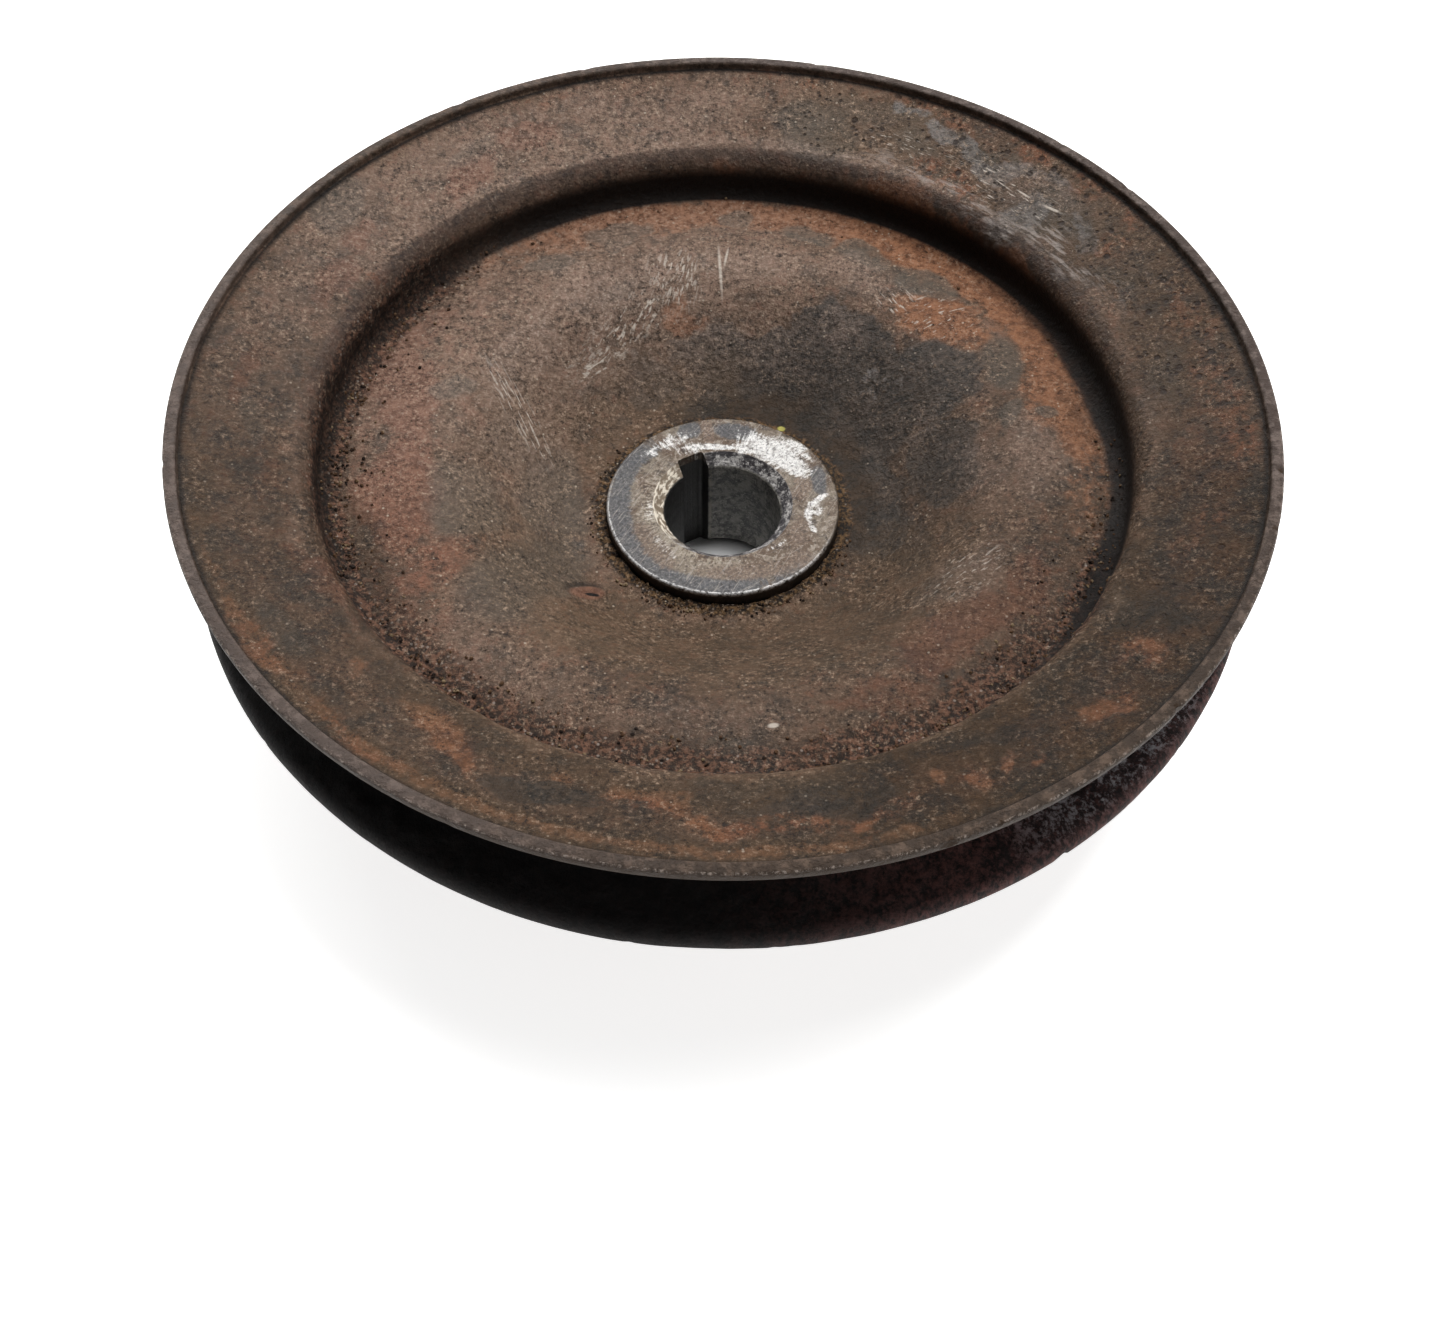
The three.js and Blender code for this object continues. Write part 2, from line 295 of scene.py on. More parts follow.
RUST_SPOTS = [
    (50, -54.6, 7, 5, 40, 1), (58.5, -46, 5, 5, 0, 1), (35, -63, 6, 2.4, 70, 0.9),
    (31.5, -66, 5, 2, 80, 0.9), (40, -64, 3, 2, 60, 0.8), (8, -73, 18, 4, 5, 0.9),
    (20, -72, 10, 4, 15, 0.7), (-10, -71, 14, 4, -5, 0.8), (53, 58, 10, 5, -45, 0.9),
    (60, 50, 6, 6, -20, 0.7), (64, 38, 5, 7, -60, 0.7), (38, 57, 13, 6, -35, 0.9),
    (42, 50, 10, 4, -45, 0.7), (70, -22, 9, 4, 70, 0.8), (65, -28, 7, 4, 60, 0.6),
    (76, 2, 22, 4, 90, 0.6), (73, 20, 14, 5, -75, 0.65), (77, -8, 10, 3, 95, 0.9),
    (-61, -48, 16, 3, -48, 0.7), (-47, -63, 16, 3, -38, 0.7), (-58, 31, 4, 3, 0, 0.9),
    (37, 69, 14, 3, -28, 0.7), (14, 76, 4, 2, 0, 0.7), (-30, 71, 10, 3, 20, 0.4),
    (22, 60, 10, 2, -20, 0.4), (66, 44, 10, 3, -55, 0.8),
]

# Scratched places on the sheet's front: an oval (x, y, length, width, turn, softness of its edge), then
# its strokes (turn, length, width, low, high, shift)
SCUFFS = [
    ((-9, 43, 8, 9, 0, 0.7), (80, 2.0, 0.5, 0.54, 0.62, 1.0)),
    ((-22, 27, 10, 3, 35, 0.7), (40, 1.6, 0.45, 0.56, 0.64, 2.0)),
    ((-34, 14, 15, 4, -52, 0.7), (-56, 3.4, 0.35, 0.55, 0.64, 7.0)),
    ((29, 37, 5, 6, -30, 0.6), (-58, 3.0, 0.5, 0.56, 0.64, 13.0)),
    ((36, 33, 12, 8, -30, 0.6), (25, 1.6, 0.5, 0.6, 0.68, 23.0)),
]
# The same, with strokes that run round the axis
ROUND_SCUFFS = [
    ((47, 53, 20, 7, -45, 0.7), (2.2, 0.3, 0.6, 0.68, 11.0)),
    ((31, 64, 15, 4, -25, 0.7), (1.8, 0.3, 0.6, 0.68, 21.0)),
]
# Single scratches and chips, each an oval
SINGLE_SCRATCHES = [
    (7.6, -51, 1.5, 0.8, 10, 0.4), (-1.2, 44.6, 8.0, 0.5, 95, 0.6), (-0.2, 47.0, 3.4, 0.4, 80, 0.6),
    (54.9, 47.0, 3.4, 0.45, -40, 0.5), (50.4, 51.2, 2.6, 0.3, -45, 0.5),
    (47.2, 53.6, 3.4, 0.2, -48, 0.5),
]


def front_coats(points):
    """Masks of what lies on the front of the sheet, each from 0 to 1."""
    zones = Zones(points)
    clean = Zones(points, ragged=0.25)
    plain = Zones(points, ragged=0.04)
    on_web = 1 - rise(points[:, 2], 34, 36)
    low_wall = 1 - rise(points[:, 2], 38.0, 41.2)
    return {
        "orange": np.max([
            zones.ovals(ORANGE_PATCHES),
            on_web * zones.ring(54, 62.5, 2.6, 60, 66, 20),
            0.75 * clean.ring(77.4, 79.4, 0.6, 247, 44, 12),
        ], axis=0),
        "red": np.maximum(
            zones.ovals(RED_PATCHES),
            zones.rings((0.4, 47, 62, 4, 185, 50, 20), (0.6, 66, 80, 3, -38, 42, 16)),
        ),
        "scale": zones.ovals(SCALE_PATCHES),
        # Dark scale, partly painted shade on the dish at the hub's upper right
        "dark": np.maximum(
            zones.ovals(DARK_PATCHES),
            zones.rings((0.9, 17, 31, 3.5, 42, 66, 20), (0.7, 17, 37, 3, 62, 46, 14)),
        ),
        # Pale rust patches, with painted sheen on the far left of the flange and web, and painted light
        # on the far side of the cup's mouth
        "pale": np.max([
            zones.ovals(PALE_PATCHES, soft=0.6),
            zones.rings((0.5, 30, 62, 5, 130, 55, 20), (0.55, 66, 79, 3, 132, 42, 16)),
            0.7 * clean.ring(65.4, 67.4, 0.4, 95, 60, 16),
        ], axis=0),
        "spots": zones.ovals(RUST_SPOTS),
        "olive": np.maximum(
            clean.ring(76.5, 80.6, 1.4, 250, 60, 16),
            zones.rings(
                (1, 24, 44, 5, -75, 60, 20), (1, 62.6, 70, 2.6, -75, 58, 20),
                (0.7, 20, 34, 4, 125, 40, 16), (0.6, 66, 80, 3, 42, 42, 15),
                (0.5, 26, 45, 5, 200, 66, 20),
            ),
        ),
        "dirt": clean.rings(
            (1, 61.2, 63.2, 0.6, -130, 92, 16), (0.8, 59.2, 63.4, 1.2, 180, 42, 18),
            (1, 58.2, 63.4, 1.8, -82, 66, 16), (0.6, 54, 63.4, 2.6, -90, 66, 20), (1, 17, 21.4, 1.6),
        ),
        # Painted shade, black, on the cup's far wall, in the trough under the wall at the right and in
        # the lip's inner corner; grime in the trough at the left
        "grime_and_painted_shade": np.max([
            low_wall * plain.ring(61.5, 64.0, 0.22, 72, 76, 30),
            low_wall * clean.rings((0.7, 61.2, 64, 0.5, 160, 50, 20), (0.97, 60.1, 64, 0.7, -4, 40, 14)),
            plain.rings((0.95, 80.1, 80.6, 0.16, 85, 90, 24), (0.8, 80.2, 80.6, 0.14)),
        ], axis=0),
        # Painted shade: darker over the near side of the flange and web, in parts of the trough, and on
        # the dish at the hub's upper right
        "painted_shade": zones.rings(
            (0.76, 64.5, 84, 2, -75, 122, 36), (1, 64.5, 84, 2, -42, 44, 18),
            (0.55, 24, 64, 4, -50, 75, 50), (0.75, 56, 65, 2, 212, 26, 14),
            (0.8, 57, 65, 2, -12, 34, 14), (0.9, 17, 28, 3, 40, 72, 25),
        ),
        "pitted": zones.rings((1, 66.5, 80.4, 2.5, 40, 48, 12), (0.8, 68, 80.4, 2.5, -15, 30, 12)),
        # Painted shade on the far side of the cup's mouth bend
        "bend": plain.ring(63.2, 65.3, 0.5, 100, 82, 20),
        "steel": zones.ovals(STEEL_PATCHES, soft=0.6),
        # Wear on the cup's shoulder, partly a painted highlight on the side towards the light
        "worn": 0.7 * zones.ring(65.6, 68.4, 0.9, 46, 22, 10),
    }


# -------------------- turned meshes

def rounded_path(corners, step):
    """Points along a line with rounded corners, from (radius, height, bend radius), in short steps.

    Gives the points and, for each, the unit vector to the left of the line's direction.
    """
    spots = [np.array(corner[:2], float) for corner in corners]
    legs = [(b - a) / np.linalg.norm(b - a) for a, b in zip(spots, spots[1:])]
    points = [spots[0]]
    across = [np.array([-legs[0][1], legs[0][0]])]

    def run_to(end, side):
        start = points[-1]
        steps = max(1, round(np.linalg.norm(end - start) / step))
        for k in range(1, steps + 1):
            points.append(start + (end - start) * k / steps)
            across.append(side)

    for before, after, spot, corner in zip(legs, legs[1:], spots[1:], corners[1:]):
        turn = math.atan2(before[0] * after[1] - before[1] * after[0], before @ after)
        signed = corner[2] * math.copysign(1, turn)
        heading = math.atan2(before[1], before[0])
        side = np.array([-before[1], before[0]])
        start = spot - before * corner[2] * math.tan(abs(turn) / 2)
        centre = start + side * signed
        run_to(start, side)
        steps = math.ceil(max(abs(turn) / BEND_STEP, abs(signed * turn) / step))
        for k in range(1, steps + 1):
            angle = heading + turn * k / steps
            side = np.array([-math.sin(angle), math.cos(angle)])
            points.append(centre - side * signed)
            across.append(side)
    run_to(spots[-1], across[-1])
    return np.array(points), np.array(across)


def closed_outline(corners):
    """Fine closed outline, its last corner the same as its first, and its outward directions."""
    points, across = rounded_path(corners, SMALL_STEP)
    return points[:-1], -across[:-1]


def sheet_outline(corners):
    """Closed outline of a sheet along its middle line, with rounded cut edges.

    Gives the outline's points, its outward directions, and True for the points of the front side.
    The front side is on the right of the line, and its steps are the finer ones.
    """
    half, edge = SHEET / 2, CUT_EDGE_ROUNDING
    points, normals, front = [], [], []

    def cap(tip, side, outward):
        """Rounded cut edge, from one face over to the other."""
        for sign, degrees in ((1, (0, 30, 60, 90)), (-1, (90, 60, 30, 0))):
            for angle in np.radians(degrees):
                normal = side * sign * math.cos(angle) + outward * math.sin(angle)
                points.append(tip - outward * edge + side * sign * (half - edge) + normal * edge)
                normals.append(normal)
                front.append(True)

    for step, sign, is_front in ((COARSE_STEP, 1, False), (FINE_STEP, -1, True)):
        at, across = rounded_path(corners, step)
        at, across = at[::sign], across[::sign] * sign
        points.extend(at[1:-1] + across[1:-1] * half)
        normals.extend(across[1:-1])
        front.extend([is_front] * (len(at) - 2))
        outward = at[-1] - at[-2]
        cap(at[-1], across[-1], outward / np.linalg.norm(outward))
    return np.array(points), np.array(normals), np.array(front)


def new_object(name, points, faces, materials=()):
    """Mesh object made from points in millimetres."""
    mesh = bpy.data.meshes.new(name)
    mesh.from_pydata((np.array(points) * MM).tolist(), [], faces)
    for material in materials:
        mesh.materials.append(material)
    piece = bpy.data.objects.new(name, mesh)
    bpy.context.scene.collection.objects.link(piece)
    return piece


def smooth_mesh(mesh, sharp_degrees=None):
    """Smooth shading, except across edges sharper than the given angle."""
    mesh.polygons.foreach_set("use_smooth", [True] * len(mesh.polygons))
    if sharp_degrees is not None:
        mesh.set_sharp_from_angle(angle=math.radians(sharp_degrees))
    mesh.update()


def turned_piece(name, outline, normals, relief, materials, slots=None, steps=TURN_STEPS):
    """Revolves a closed outline and pushes each vertex along its outward direction by the relief.

    relief takes points (n, 3), radii and outline indices, and gives millimetres.
    slots gives the material index of each outline point's band.
    """
    count = len(outline)
    angle = np.tile(np.arange(steps) * 2 * math.pi / steps, count)
    index = np.repeat(np.arange(count), steps)
    spin = np.column_stack([np.cos(angle), np.sin(angle)])
    radius = outline[index, 0]
    points = np.column_stack([spin * radius[:, None], outline[index, 1]])
    out = np.column_stack([spin * normals[index, 0][:, None], normals[index, 1]])
    points = points + out * relief(points, radius, index)[:, None]
    column = np.tile(np.arange(steps), count)
    next_row = (index + 1) % count
    next_column = (column + 1) % steps
    quads = np.column_stack([
        index * steps + column, index * steps + next_column,
        next_row * steps + next_column, next_row * steps + column,
    ])
    after = np.roll(outline, -1, axis=0)
    area = np.sum(outline[:, 0] * after[:, 1] - after[:, 0] * outline[:, 1])
    if area < 0:
        quads = quads[:, ::-1]
    piece = new_object(name, points, quads.tolist(), materials)
    if slots is not None:
        piece.data.polygons.foreach_set("material_index", np.repeat(slots, steps))
    smooth_mesh(piece.data)
    return piece


def mesh_points(piece):
    """The piece's vertices in millimetres."""
    flat = np.empty(len(piece.data.vertices) * 3, np.float32)
    piece.data.vertices.foreach_get("co", flat)
    return flat.reshape(-1, 3).astype(float) / MM


def store_coats(piece, coats):
    """Keeps each mask on the mesh, where the material's nodes read it by name."""
    for name, values in coats.items():
        layer = piece.data.attributes.new(name, "FLOAT", "POINT")
        layer.data.foreach_set("value", values.astype(np.float32))


# -------------------- materials

def srgb(red, green, blue):
    """Colour as seen on a screen, 0 to 255, turned into Blender's linear values."""
    def linear(value):
        value = value / 255
        return value / 12.92 if value <= 0.04045 else ((value + 0.055) / 1.055) ** 2.4
    return (linear(red) * UNDER_LIGHT, linear(green) * UNDER_LIGHT, linear(blue) * UNDER_LIGHT, 1.0)


class Finish:
    """One node material. Each method adds nodes and gives their output."""

    def __init__(self, name):
        self.material = bpy.data.materials.new(name)
        self.material.use_nodes = True
        self.tree = self.material.node_tree
        self.tree.nodes.clear()
        self.colour = None
        place = self.tree.nodes.new("ShaderNodeTexCoord")
        self.at = self.vector("SCALE", place.outputs["Object"], scale=1 / MM)
        split = self.add("ShaderNodeSeparateXYZ", {"Vector": self.at})
        self.height = split.outputs["Z"]
        plan = {"X": split.outputs["X"], "Y": split.outputs["Y"]}
        self.flat = self.add("ShaderNodeCombineXYZ", plan).outputs[0]
        self.radius = self.vector("LENGTH", self.flat)
        self.angle = self.math("ARCTAN2", split.outputs["Y"], split.outputs["X"])

    def add(self, kind, inputs, **settings):
        node = self.tree.nodes.new(kind)
        for key, value in settings.items():
            setattr(node, key, value)
        for key, value in inputs.items():
            self.put(node.inputs[key], value)
        return node

    def put(self, socket, value):
        if isinstance(value, bpy.types.NodeSocket):
            self.tree.links.new(value, socket)
        else:
            socket.default_value = value

    def vector(self, operation, a, b=None, scale=None):
        inputs = {0: a}
        if b is not None:
            inputs[1] = b
        if scale is not None:
            inputs["Scale"] = scale
        node = self.add("ShaderNodeVectorMath", inputs, operation=operation)
        return node.outputs["Value" if operation in ("LENGTH", "DOT_PRODUCT") else "Vector"]

    def math(self, operation, a, b=0.0, clamp=False):
        node = self.add("ShaderNodeMath", {0: a, 1: b}, operation=operation, use_clamp=clamp)
        return node.outputs[0]

    def chain(self, operation, values):
        result = values[0]
        for value in values[1:]:
            result = self.math(operation, result, value)
        return result

    def times(self, *factors):
        return self.chain("MULTIPLY", factors)

    def plus(self, *terms):
        return self.chain("ADD", terms)

    def most(self, *values):
        return self.chain("MAXIMUM", values)

    def but(self, whole, mask):
        """What is left of a whole share where the mask isn't."""
        return self.math("SUBTRACT", whole, mask)

    def rise(self, value, low, high, bottom=0.0, top=1.0):
        """bottom below low, top above high, smooth between."""
        inputs = {"Value": value, "From Min": low, "From Max": high, "To Min": bottom, "To Max": top}
        return self.add("ShaderNodeMapRange", inputs, interpolation_type="SMOOTHSTEP").outputs["Result"]

    def noise(self, size, detail=4.0, roughness=0.55, at=None, shift=0.0):
        at = self.at if at is None else at
        at = self.vector("ADD", at, (shift, shift * 1.7, -shift))
        inputs = {"Vector": at, "Scale": 1 / size, "Detail": detail, "Roughness": roughness}
        return self.add("ShaderNodeTexNoise", inputs).outputs["Fac"]

    def specks(self, size, share, reach, shift=0.0):
        """Small dots: in a share of cells of the given size, out to reach, as a part of the cell."""
        at = self.vector("ADD", self.at, (shift, -shift, shift * 0.6))
        cells = self.add("ShaderNodeTexVoronoi", {"Vector": at, "Scale": 1 / size})
        chosen = self.add("ShaderNodeSeparateColor", {"Color": cells.outputs["Color"]}).outputs["Red"]
        dot = self.rise(cells.outputs["Distance"], reach, reach * 0.55)
        return self.times(dot, self.math("LESS_THAN", chosen, share))

    def framed(self, at, x, y, turn, scale):
        """Place measured from x, y along axes turned by degrees, in units of the scale."""
        inputs = {"Vector": at, "Location": (x, y, 0), "Rotation": (0, 0, math.radians(turn)),
                  "Scale": scale}
        return self.add("ShaderNodeMapping", inputs, vector_type="TEXTURE").outputs["Vector"]

    def strokes(self, turn, length, width, low, high, shift=0.0):
        """Fine parallel strokes in plan view, long along one direction."""
        at = self.framed(self.at, shift, shift, turn, (length, width, length))
        return self.rise(self.noise(1.0, detail=2.0, at=at), low, high)

    def rings(self, length, width, low, high, shift=0.0):
        """Fine strokes that run round the axis."""
        inputs = {"X": self.math("DIVIDE", self.radius, width),
                  "Y": self.math("MULTIPLY", self.angle, 60 / length), "Z": shift}
        at = self.add("ShaderNodeCombineXYZ", inputs).outputs["Vector"]
        return self.rise(self.noise(1.0, detail=2.0, at=at), low, high)

    def mix(self, factor, a, b):
        """Blend of two colours: outputs, three values as seen on a screen, or four linear values."""
        node = self.add("ShaderNodeMix", {0: factor}, data_type="RGBA", clamp_factor=True)
        for index, colour in ((6, a), (7, b)):
            on_screen = isinstance(colour, tuple) and len(colour) == 3
            self.put(node.inputs[index], srgb(*colour) if on_screen else colour)
        return node.outputs[2]

    def paint(self, mask, colour, strength=1.0):
        """Lays a colour over the ones painted so far, where the mask is."""
        self.colour = self.mix(self.times(mask, strength), self.colour, colour)

    def coat(self, name):
        """A mask that the mesh carries."""
        return self.add("ShaderNodeAttribute", {}, attribute_name=name).outputs["Fac"]

    def broken(self, mask, texture, reach, low, high):
        """A soft mask broken up by a texture, so that its edge is made of specks and islands."""
        shift = self.times(self.but(texture, 0.5), reach)
        return self.rise(self.plus(mask, shift), low, high)

    def oval(self, x, y, length, width, turn=0.0, soft=0.3):
        """Oval patch in plan view, its long side turned by degrees from X."""
        at = self.framed(self.flat, x, y, turn, (length / 2, width / 2, 1))
        return self.rise(self.vector("LENGTH", at), 1 + soft, 1 - soft)

    def towards(self, degrees):
        """1 where the plan direction from the axis is the given one, 0 at right angles to it."""
        heading = (math.cos(math.radians(degrees)), math.sin(math.radians(degrees)), 0)
        return self.vector("DOT_PRODUCT", self.vector("NORMALIZE", self.flat), heading)

    def finish(self, roughness, relief, metallic=0.0, specular=0.35):
        """Ends the material. relief is in millimetres."""
        inputs = {"Base Color": self.colour, "Roughness": roughness, "Metallic": metallic}
        if relief is not None:
            bump = self.add("ShaderNodeBump", {"Height": relief, "Distance": MM, "Strength": 1.0})
            inputs["Normal"] = bump.outputs["Normal"]
        shader = self.add("ShaderNodeBsdfPrincipled", inputs)
        shader.inputs["Specular IOR Level"].default_value = specular
        self.add("ShaderNodeOutputMaterial", {"Surface": shader.outputs["BSDF"]})
        return self.material


def scab_of_rust(f, fleck):
    """One raised scab on the web, with its shade and a dark crack."""
    scab = f.oval(*SCAB_PLACE, 5.6, 3.2, SCAB_TURN, 0.25)
    shade = f.times(f.oval(-21.5, -18.3, 6.4, 4.4, SCAB_TURN), f.but(1.0, scab))
    f.paint(shade, (34, 26, 22), 0.7)
    f.paint(scab, f.mix(fleck, (128, 84, 66), (176, 126, 102)), 0.75)
    f.paint(f.oval(-20.2, -19.2, 2.2, 0.8, 15, 0.2), (14, 10, 9))


def lip_and_edge(f, coarse, grain):
    """The lip: brown, paler on the far and left sides, dark outside, worn along its edge."""
    lip = f.rise(f.radius, 80.55, 80.75)
    chipped = f.rise(coarse, 0.46, 0.62)
    f.paint(lip, f.mix(chipped, (88, 73, 62), (136, 114, 98)), 0.85)
    far_side = f.times(f.rise(f.radius, 80.6, 80.9), f.rise(f.towards(40), 0.1, 0.8))
    f.paint(far_side, f.mix(chipped, (106, 90, 83), (150, 134, 127)), 0.8)
    left_side = f.times(lip, f.rise(f.towards(205), 0.35, 0.9), f.rise(chipped, 0.0, 1.0, 0.6, 1.0))
    f.paint(left_side, (150, 134, 128), 0.6)
    below_edge = f.rise(f.height, RIM_TOP - 0.15, RIM_TOP - 0.4)
    outer_wall = f.times(below_edge, f.rise(f.radius, 81.4, 81.8))
    f.paint(outer_wall, (76, 54, 34), 0.95)
    edge_wear = f.times(f.rise(f.radius, 82.15, 82.3), f.but(1.0, outer_wall), f.rise(grain, 0.5, 0.6))
    f.paint(edge_wear, (222, 204, 190), 0.8)


def scratches(f, coarse):
    """Mask of the fine scratches on the sheet's front."""
    main = f.times(f.oval(-15, 36, 22, 5, 46, 0.7), f.strokes(60, 1.8, 0.5, 0.53, 0.6))
    faint = f.times(f.oval(37, -21, 12, 8, 35, 0.6), f.strokes(35, 1.6, 0.5, 0.6, 0.68, 29.0))
    return f.most(
        f.times(main, f.rise(coarse, 0.42, 0.54)),
        f.times(faint, 0.6),
        *[f.times(f.oval(*place), f.strokes(*lines)) for place, lines in SCUFFS],
        *[f.times(f.oval(*place), f.rings(*lines)) for place, lines in ROUND_SCUFFS],
        *[f.oval(*place) for place in SINGLE_SCRATCHES],
    )


def sheet_front():
    """Front face of the pressed sheet: brown rust, mill scale, worn scuffs and dirt, with painted shade,
    painted sheen and a painted highlight.
    """
    f = Finish("rusted_front")
    broad = f.noise(19.0, detail=4.0, roughness=0.6)
    blotch = f.noise(5.0, detail=6.0, roughness=0.66, shift=31.0)
    coarse = f.noise(1.9, detail=5.0, roughness=0.7, shift=83.0)
    grain = f.noise(0.8, detail=5.0, roughness=0.9, shift=57.0)
    fleck = f.rise(coarse, 0.38, 0.6)

    # Brown grey all over, drifting between pinkish and dark
    f.colour = f.mix(f.rise(broad, 0.36, 0.62), (126, 98, 78), (154, 124, 102))
    f.paint(f.rise(blotch, 0.48, 0.64), (178, 144, 124), 0.7)
    f.paint(f.rise(blotch, 0.48, 0.34), (100, 84, 72), 0.8)
    f.paint(f.rise(coarse, 0.52, 0.64), (166, 112, 86), 0.55)
    f.paint(f.rise(coarse, 0.47, 0.34), (78, 65, 57), 0.75)

    # Rust and scale, each broken into specks towards its edge; the dark and pale patches also carry
    # painted shade and painted sheen, and painted shade is laid over the near side
    ragged = f.plus(f.times(blotch, 0.55), f.times(coarse, 0.45))
    red = f.broken(f.coat("red"), ragged, 1.8, 0.28, 0.78)
    f.paint(red, f.mix(fleck, (136, 86, 66), (178, 120, 94)), 0.7)
    orange = f.broken(f.coat("orange"), ragged, 2.6, 0.22, 0.82)
    f.paint(orange, f.mix(fleck, (152, 98, 66), (206, 142, 102)), 0.9)
    scale = f.broken(f.coat("scale"), ragged, 1.8, 0.28, 0.76)
    f.paint(scale, (120, 110, 98), 0.75)
    # Dark scale, partly painted shade beside the hub
    dark = f.broken(f.coat("dark"), ragged, 1.9, 0.36, 0.62)
    f.paint(dark, f.mix(fleck, (72, 68, 64), (108, 99, 92)), 0.88)
    f.paint(f.broken(f.coat("olive"), blotch, 1.2, 0.1, 0.9), (126, 100, 72), 0.5)
    steel = f.broken(f.coat("steel"), ragged, 3.4, 0.42, 0.85)
    f.paint(steel, f.mix(fleck, (116, 111, 107), (186, 180, 176)), 0.75)
    # Pale rust, partly painted sheen and painted light on the far side
    pale = f.coat("pale")
    f.paint(f.times(pale, f.plus(0.35, f.times(fleck, 0.65))), (206, 176, 158), 0.6)
    f.paint(f.times(pale, f.rise(grain, 0.52, 0.64)), (244, 222, 208), 0.85)
    spots = f.times(f.coat("spots"), f.rise(coarse, 0.42, 0.58), f.rise(grain, 0.3, 0.55))
    f.paint(spots, (186, 116, 80), 0.85)
    # Painted shade, laid over the near side, parts of the trough and the dish beside the hub
    painted_shade = f.times(f.coat("painted_shade"), f.but(0.9, f.times(f.most(orange, spots), 0.32)))
    f.paint(painted_shade, f.mix(f.rise(blotch, 0.4, 0.6), (48, 38, 26), (76, 54, 30)))

    # Dirt packed into the trough and round the hub
    crumbs = f.rise(f.noise(0.9, detail=3.0, roughness=0.7, shift=19.0), 0.42, 0.64)
    dirt = f.broken(f.coat("dirt"), coarse, 0.8, 0.2, 0.7)
    f.paint(dirt, f.mix(crumbs, (34, 23, 19), (152, 108, 86)), 0.85)
    near_hub = f.times(dirt, f.rise(f.radius, 30.0, 26.0))
    f.paint(near_hub, f.mix(crumbs, (30, 23, 15), (146, 114, 72)), 0.75)
    glints = f.times(f.specks(0.8, 0.3, 0.34, shift=3.0), f.rise(blotch, 0.42, 0.56), dirt)
    f.paint(glints, (200, 184, 172), 0.8)

    # Grain, pits and dust, in places more and in places less
    patchy = f.rise(f.noise(7.0, detail=3.0, roughness=0.6, shift=47.0), 0.38, 0.6, 0.5, 1.25)
    f.paint(f.times(f.rise(grain, 0.49, 0.34), patchy), (26, 20, 16))
    shown = f.math("SUBTRACT", 0.95, f.plus(f.times(painted_shade, 0.6), f.times(dark, 0.35)), clamp=True)
    f.paint(f.times(f.rise(grain, 0.53, 0.66), patchy, shown), (226, 194, 166))
    pits = f.most(f.specks(2.4, 0.55, 0.3), f.specks(1.3, 0.4, 0.32, shift=4.0))
    pits = f.times(f.coat("pitted"), pits)
    f.paint(pits, (52, 36, 29), 0.8)
    dust = f.most(f.specks(2.6, 0.6, 0.095), f.specks(1.5, 0.3, 0.13, shift=9.0))
    f.paint(f.times(dust, f.but(0.9, f.times(painted_shade, 0.75))), (230, 212, 190))

    # Painted shade: darker on the far side of the cup's mouth bend, and black on the cup's far wall, in
    # the trough under the wall at the right and inside the lip; grime darkens the trough at the left
    f.paint(f.times(f.coat("bend"), f.rise(grain, 0.2, 0.7, 1.0, 0.55)), (80, 65, 60), 0.85)
    f.paint(f.coat("grime_and_painted_shade"), (20, 13, 10), 0.97)

    scab_of_rust(f, fleck)
    f.paint(f.oval(9.8, 19.0, 1.3, 1.1), (232, 222, 120))
    lip_and_edge(f, coarse, grain)
    f.paint(scratches(f, coarse), (0.47, 0.41, 0.35, 1), 0.9)
    # Worn streaks on the shoulder, partly a painted highlight
    worn = f.times(f.coat("worn"), f.rings(4.0, 0.7, 0.46, 0.62, 5.0))
    f.paint(worn, (226, 212, 202), 0.8)

    roughness = f.rise(blotch, 0.35, 0.65, 0.48, 0.6)
    roughness = f.plus(roughness, f.times(dirt, 0.22), f.times(f.most(dark, scale, worn), -0.12))
    relief = f.plus(
        f.times(grain, 0.21), f.times(coarse, 0.1), f.times(blotch, 0.08),
        f.times(crumbs, 0.12), f.times(pits, -0.2),
    )
    return f.finish(roughness, relief, specular=0.2)


def groove_face():
    """Walls of the belt groove: painted shade near black, turning to pitted purple brown where light is
    painted on the lower right and far side, with pale crust on one side.
    """
    f = Finish("rusted_groove")
    tall = f.add("ShaderNodeMapping", {"Vector": f.at, "Scale": (1, 1, 0.4)}).outputs["Vector"]
    blotch = f.noise(1.7, detail=5.0, roughness=0.72, at=tall)
    grain = f.noise(0.7, detail=5.0, roughness=0.8, at=tall, shift=9.0)
    pitted = f.rise(f.plus(f.times(blotch, 0.45), f.times(grain, 0.55)), 0.42, 0.6)
    # Painted shade: near black wherever the painted light below doesn't reach
    f.colour = f.mix(pitted, (12, 7, 7), (34, 22, 20))
    # Painted light on the lower right and the far side
    lit = f.most(f.rise(f.towards(-36), 0.55, 0.97), f.rise(f.towards(95), 0.1, 0.7, 0.0, 0.75))
    f.paint(lit, f.mix(pitted, (28, 16, 17), (134, 88, 82)))
    crusty = f.times(f.rise(blotch, 0.46, 0.55), f.rise(grain, 0.44, 0.54))
    crust = f.times(f.rise(f.towards(-37), 0.9, 0.98), crusty, f.rise(f.radius, 82.2, 80.0))
    f.paint(crust, (226, 222, 226), 0.9)
    relief = f.plus(f.times(blotch, 0.5), f.times(grain, 0.25), f.times(crust, 0.2))
    return f.finish(0.72, relief, specular=0.2)


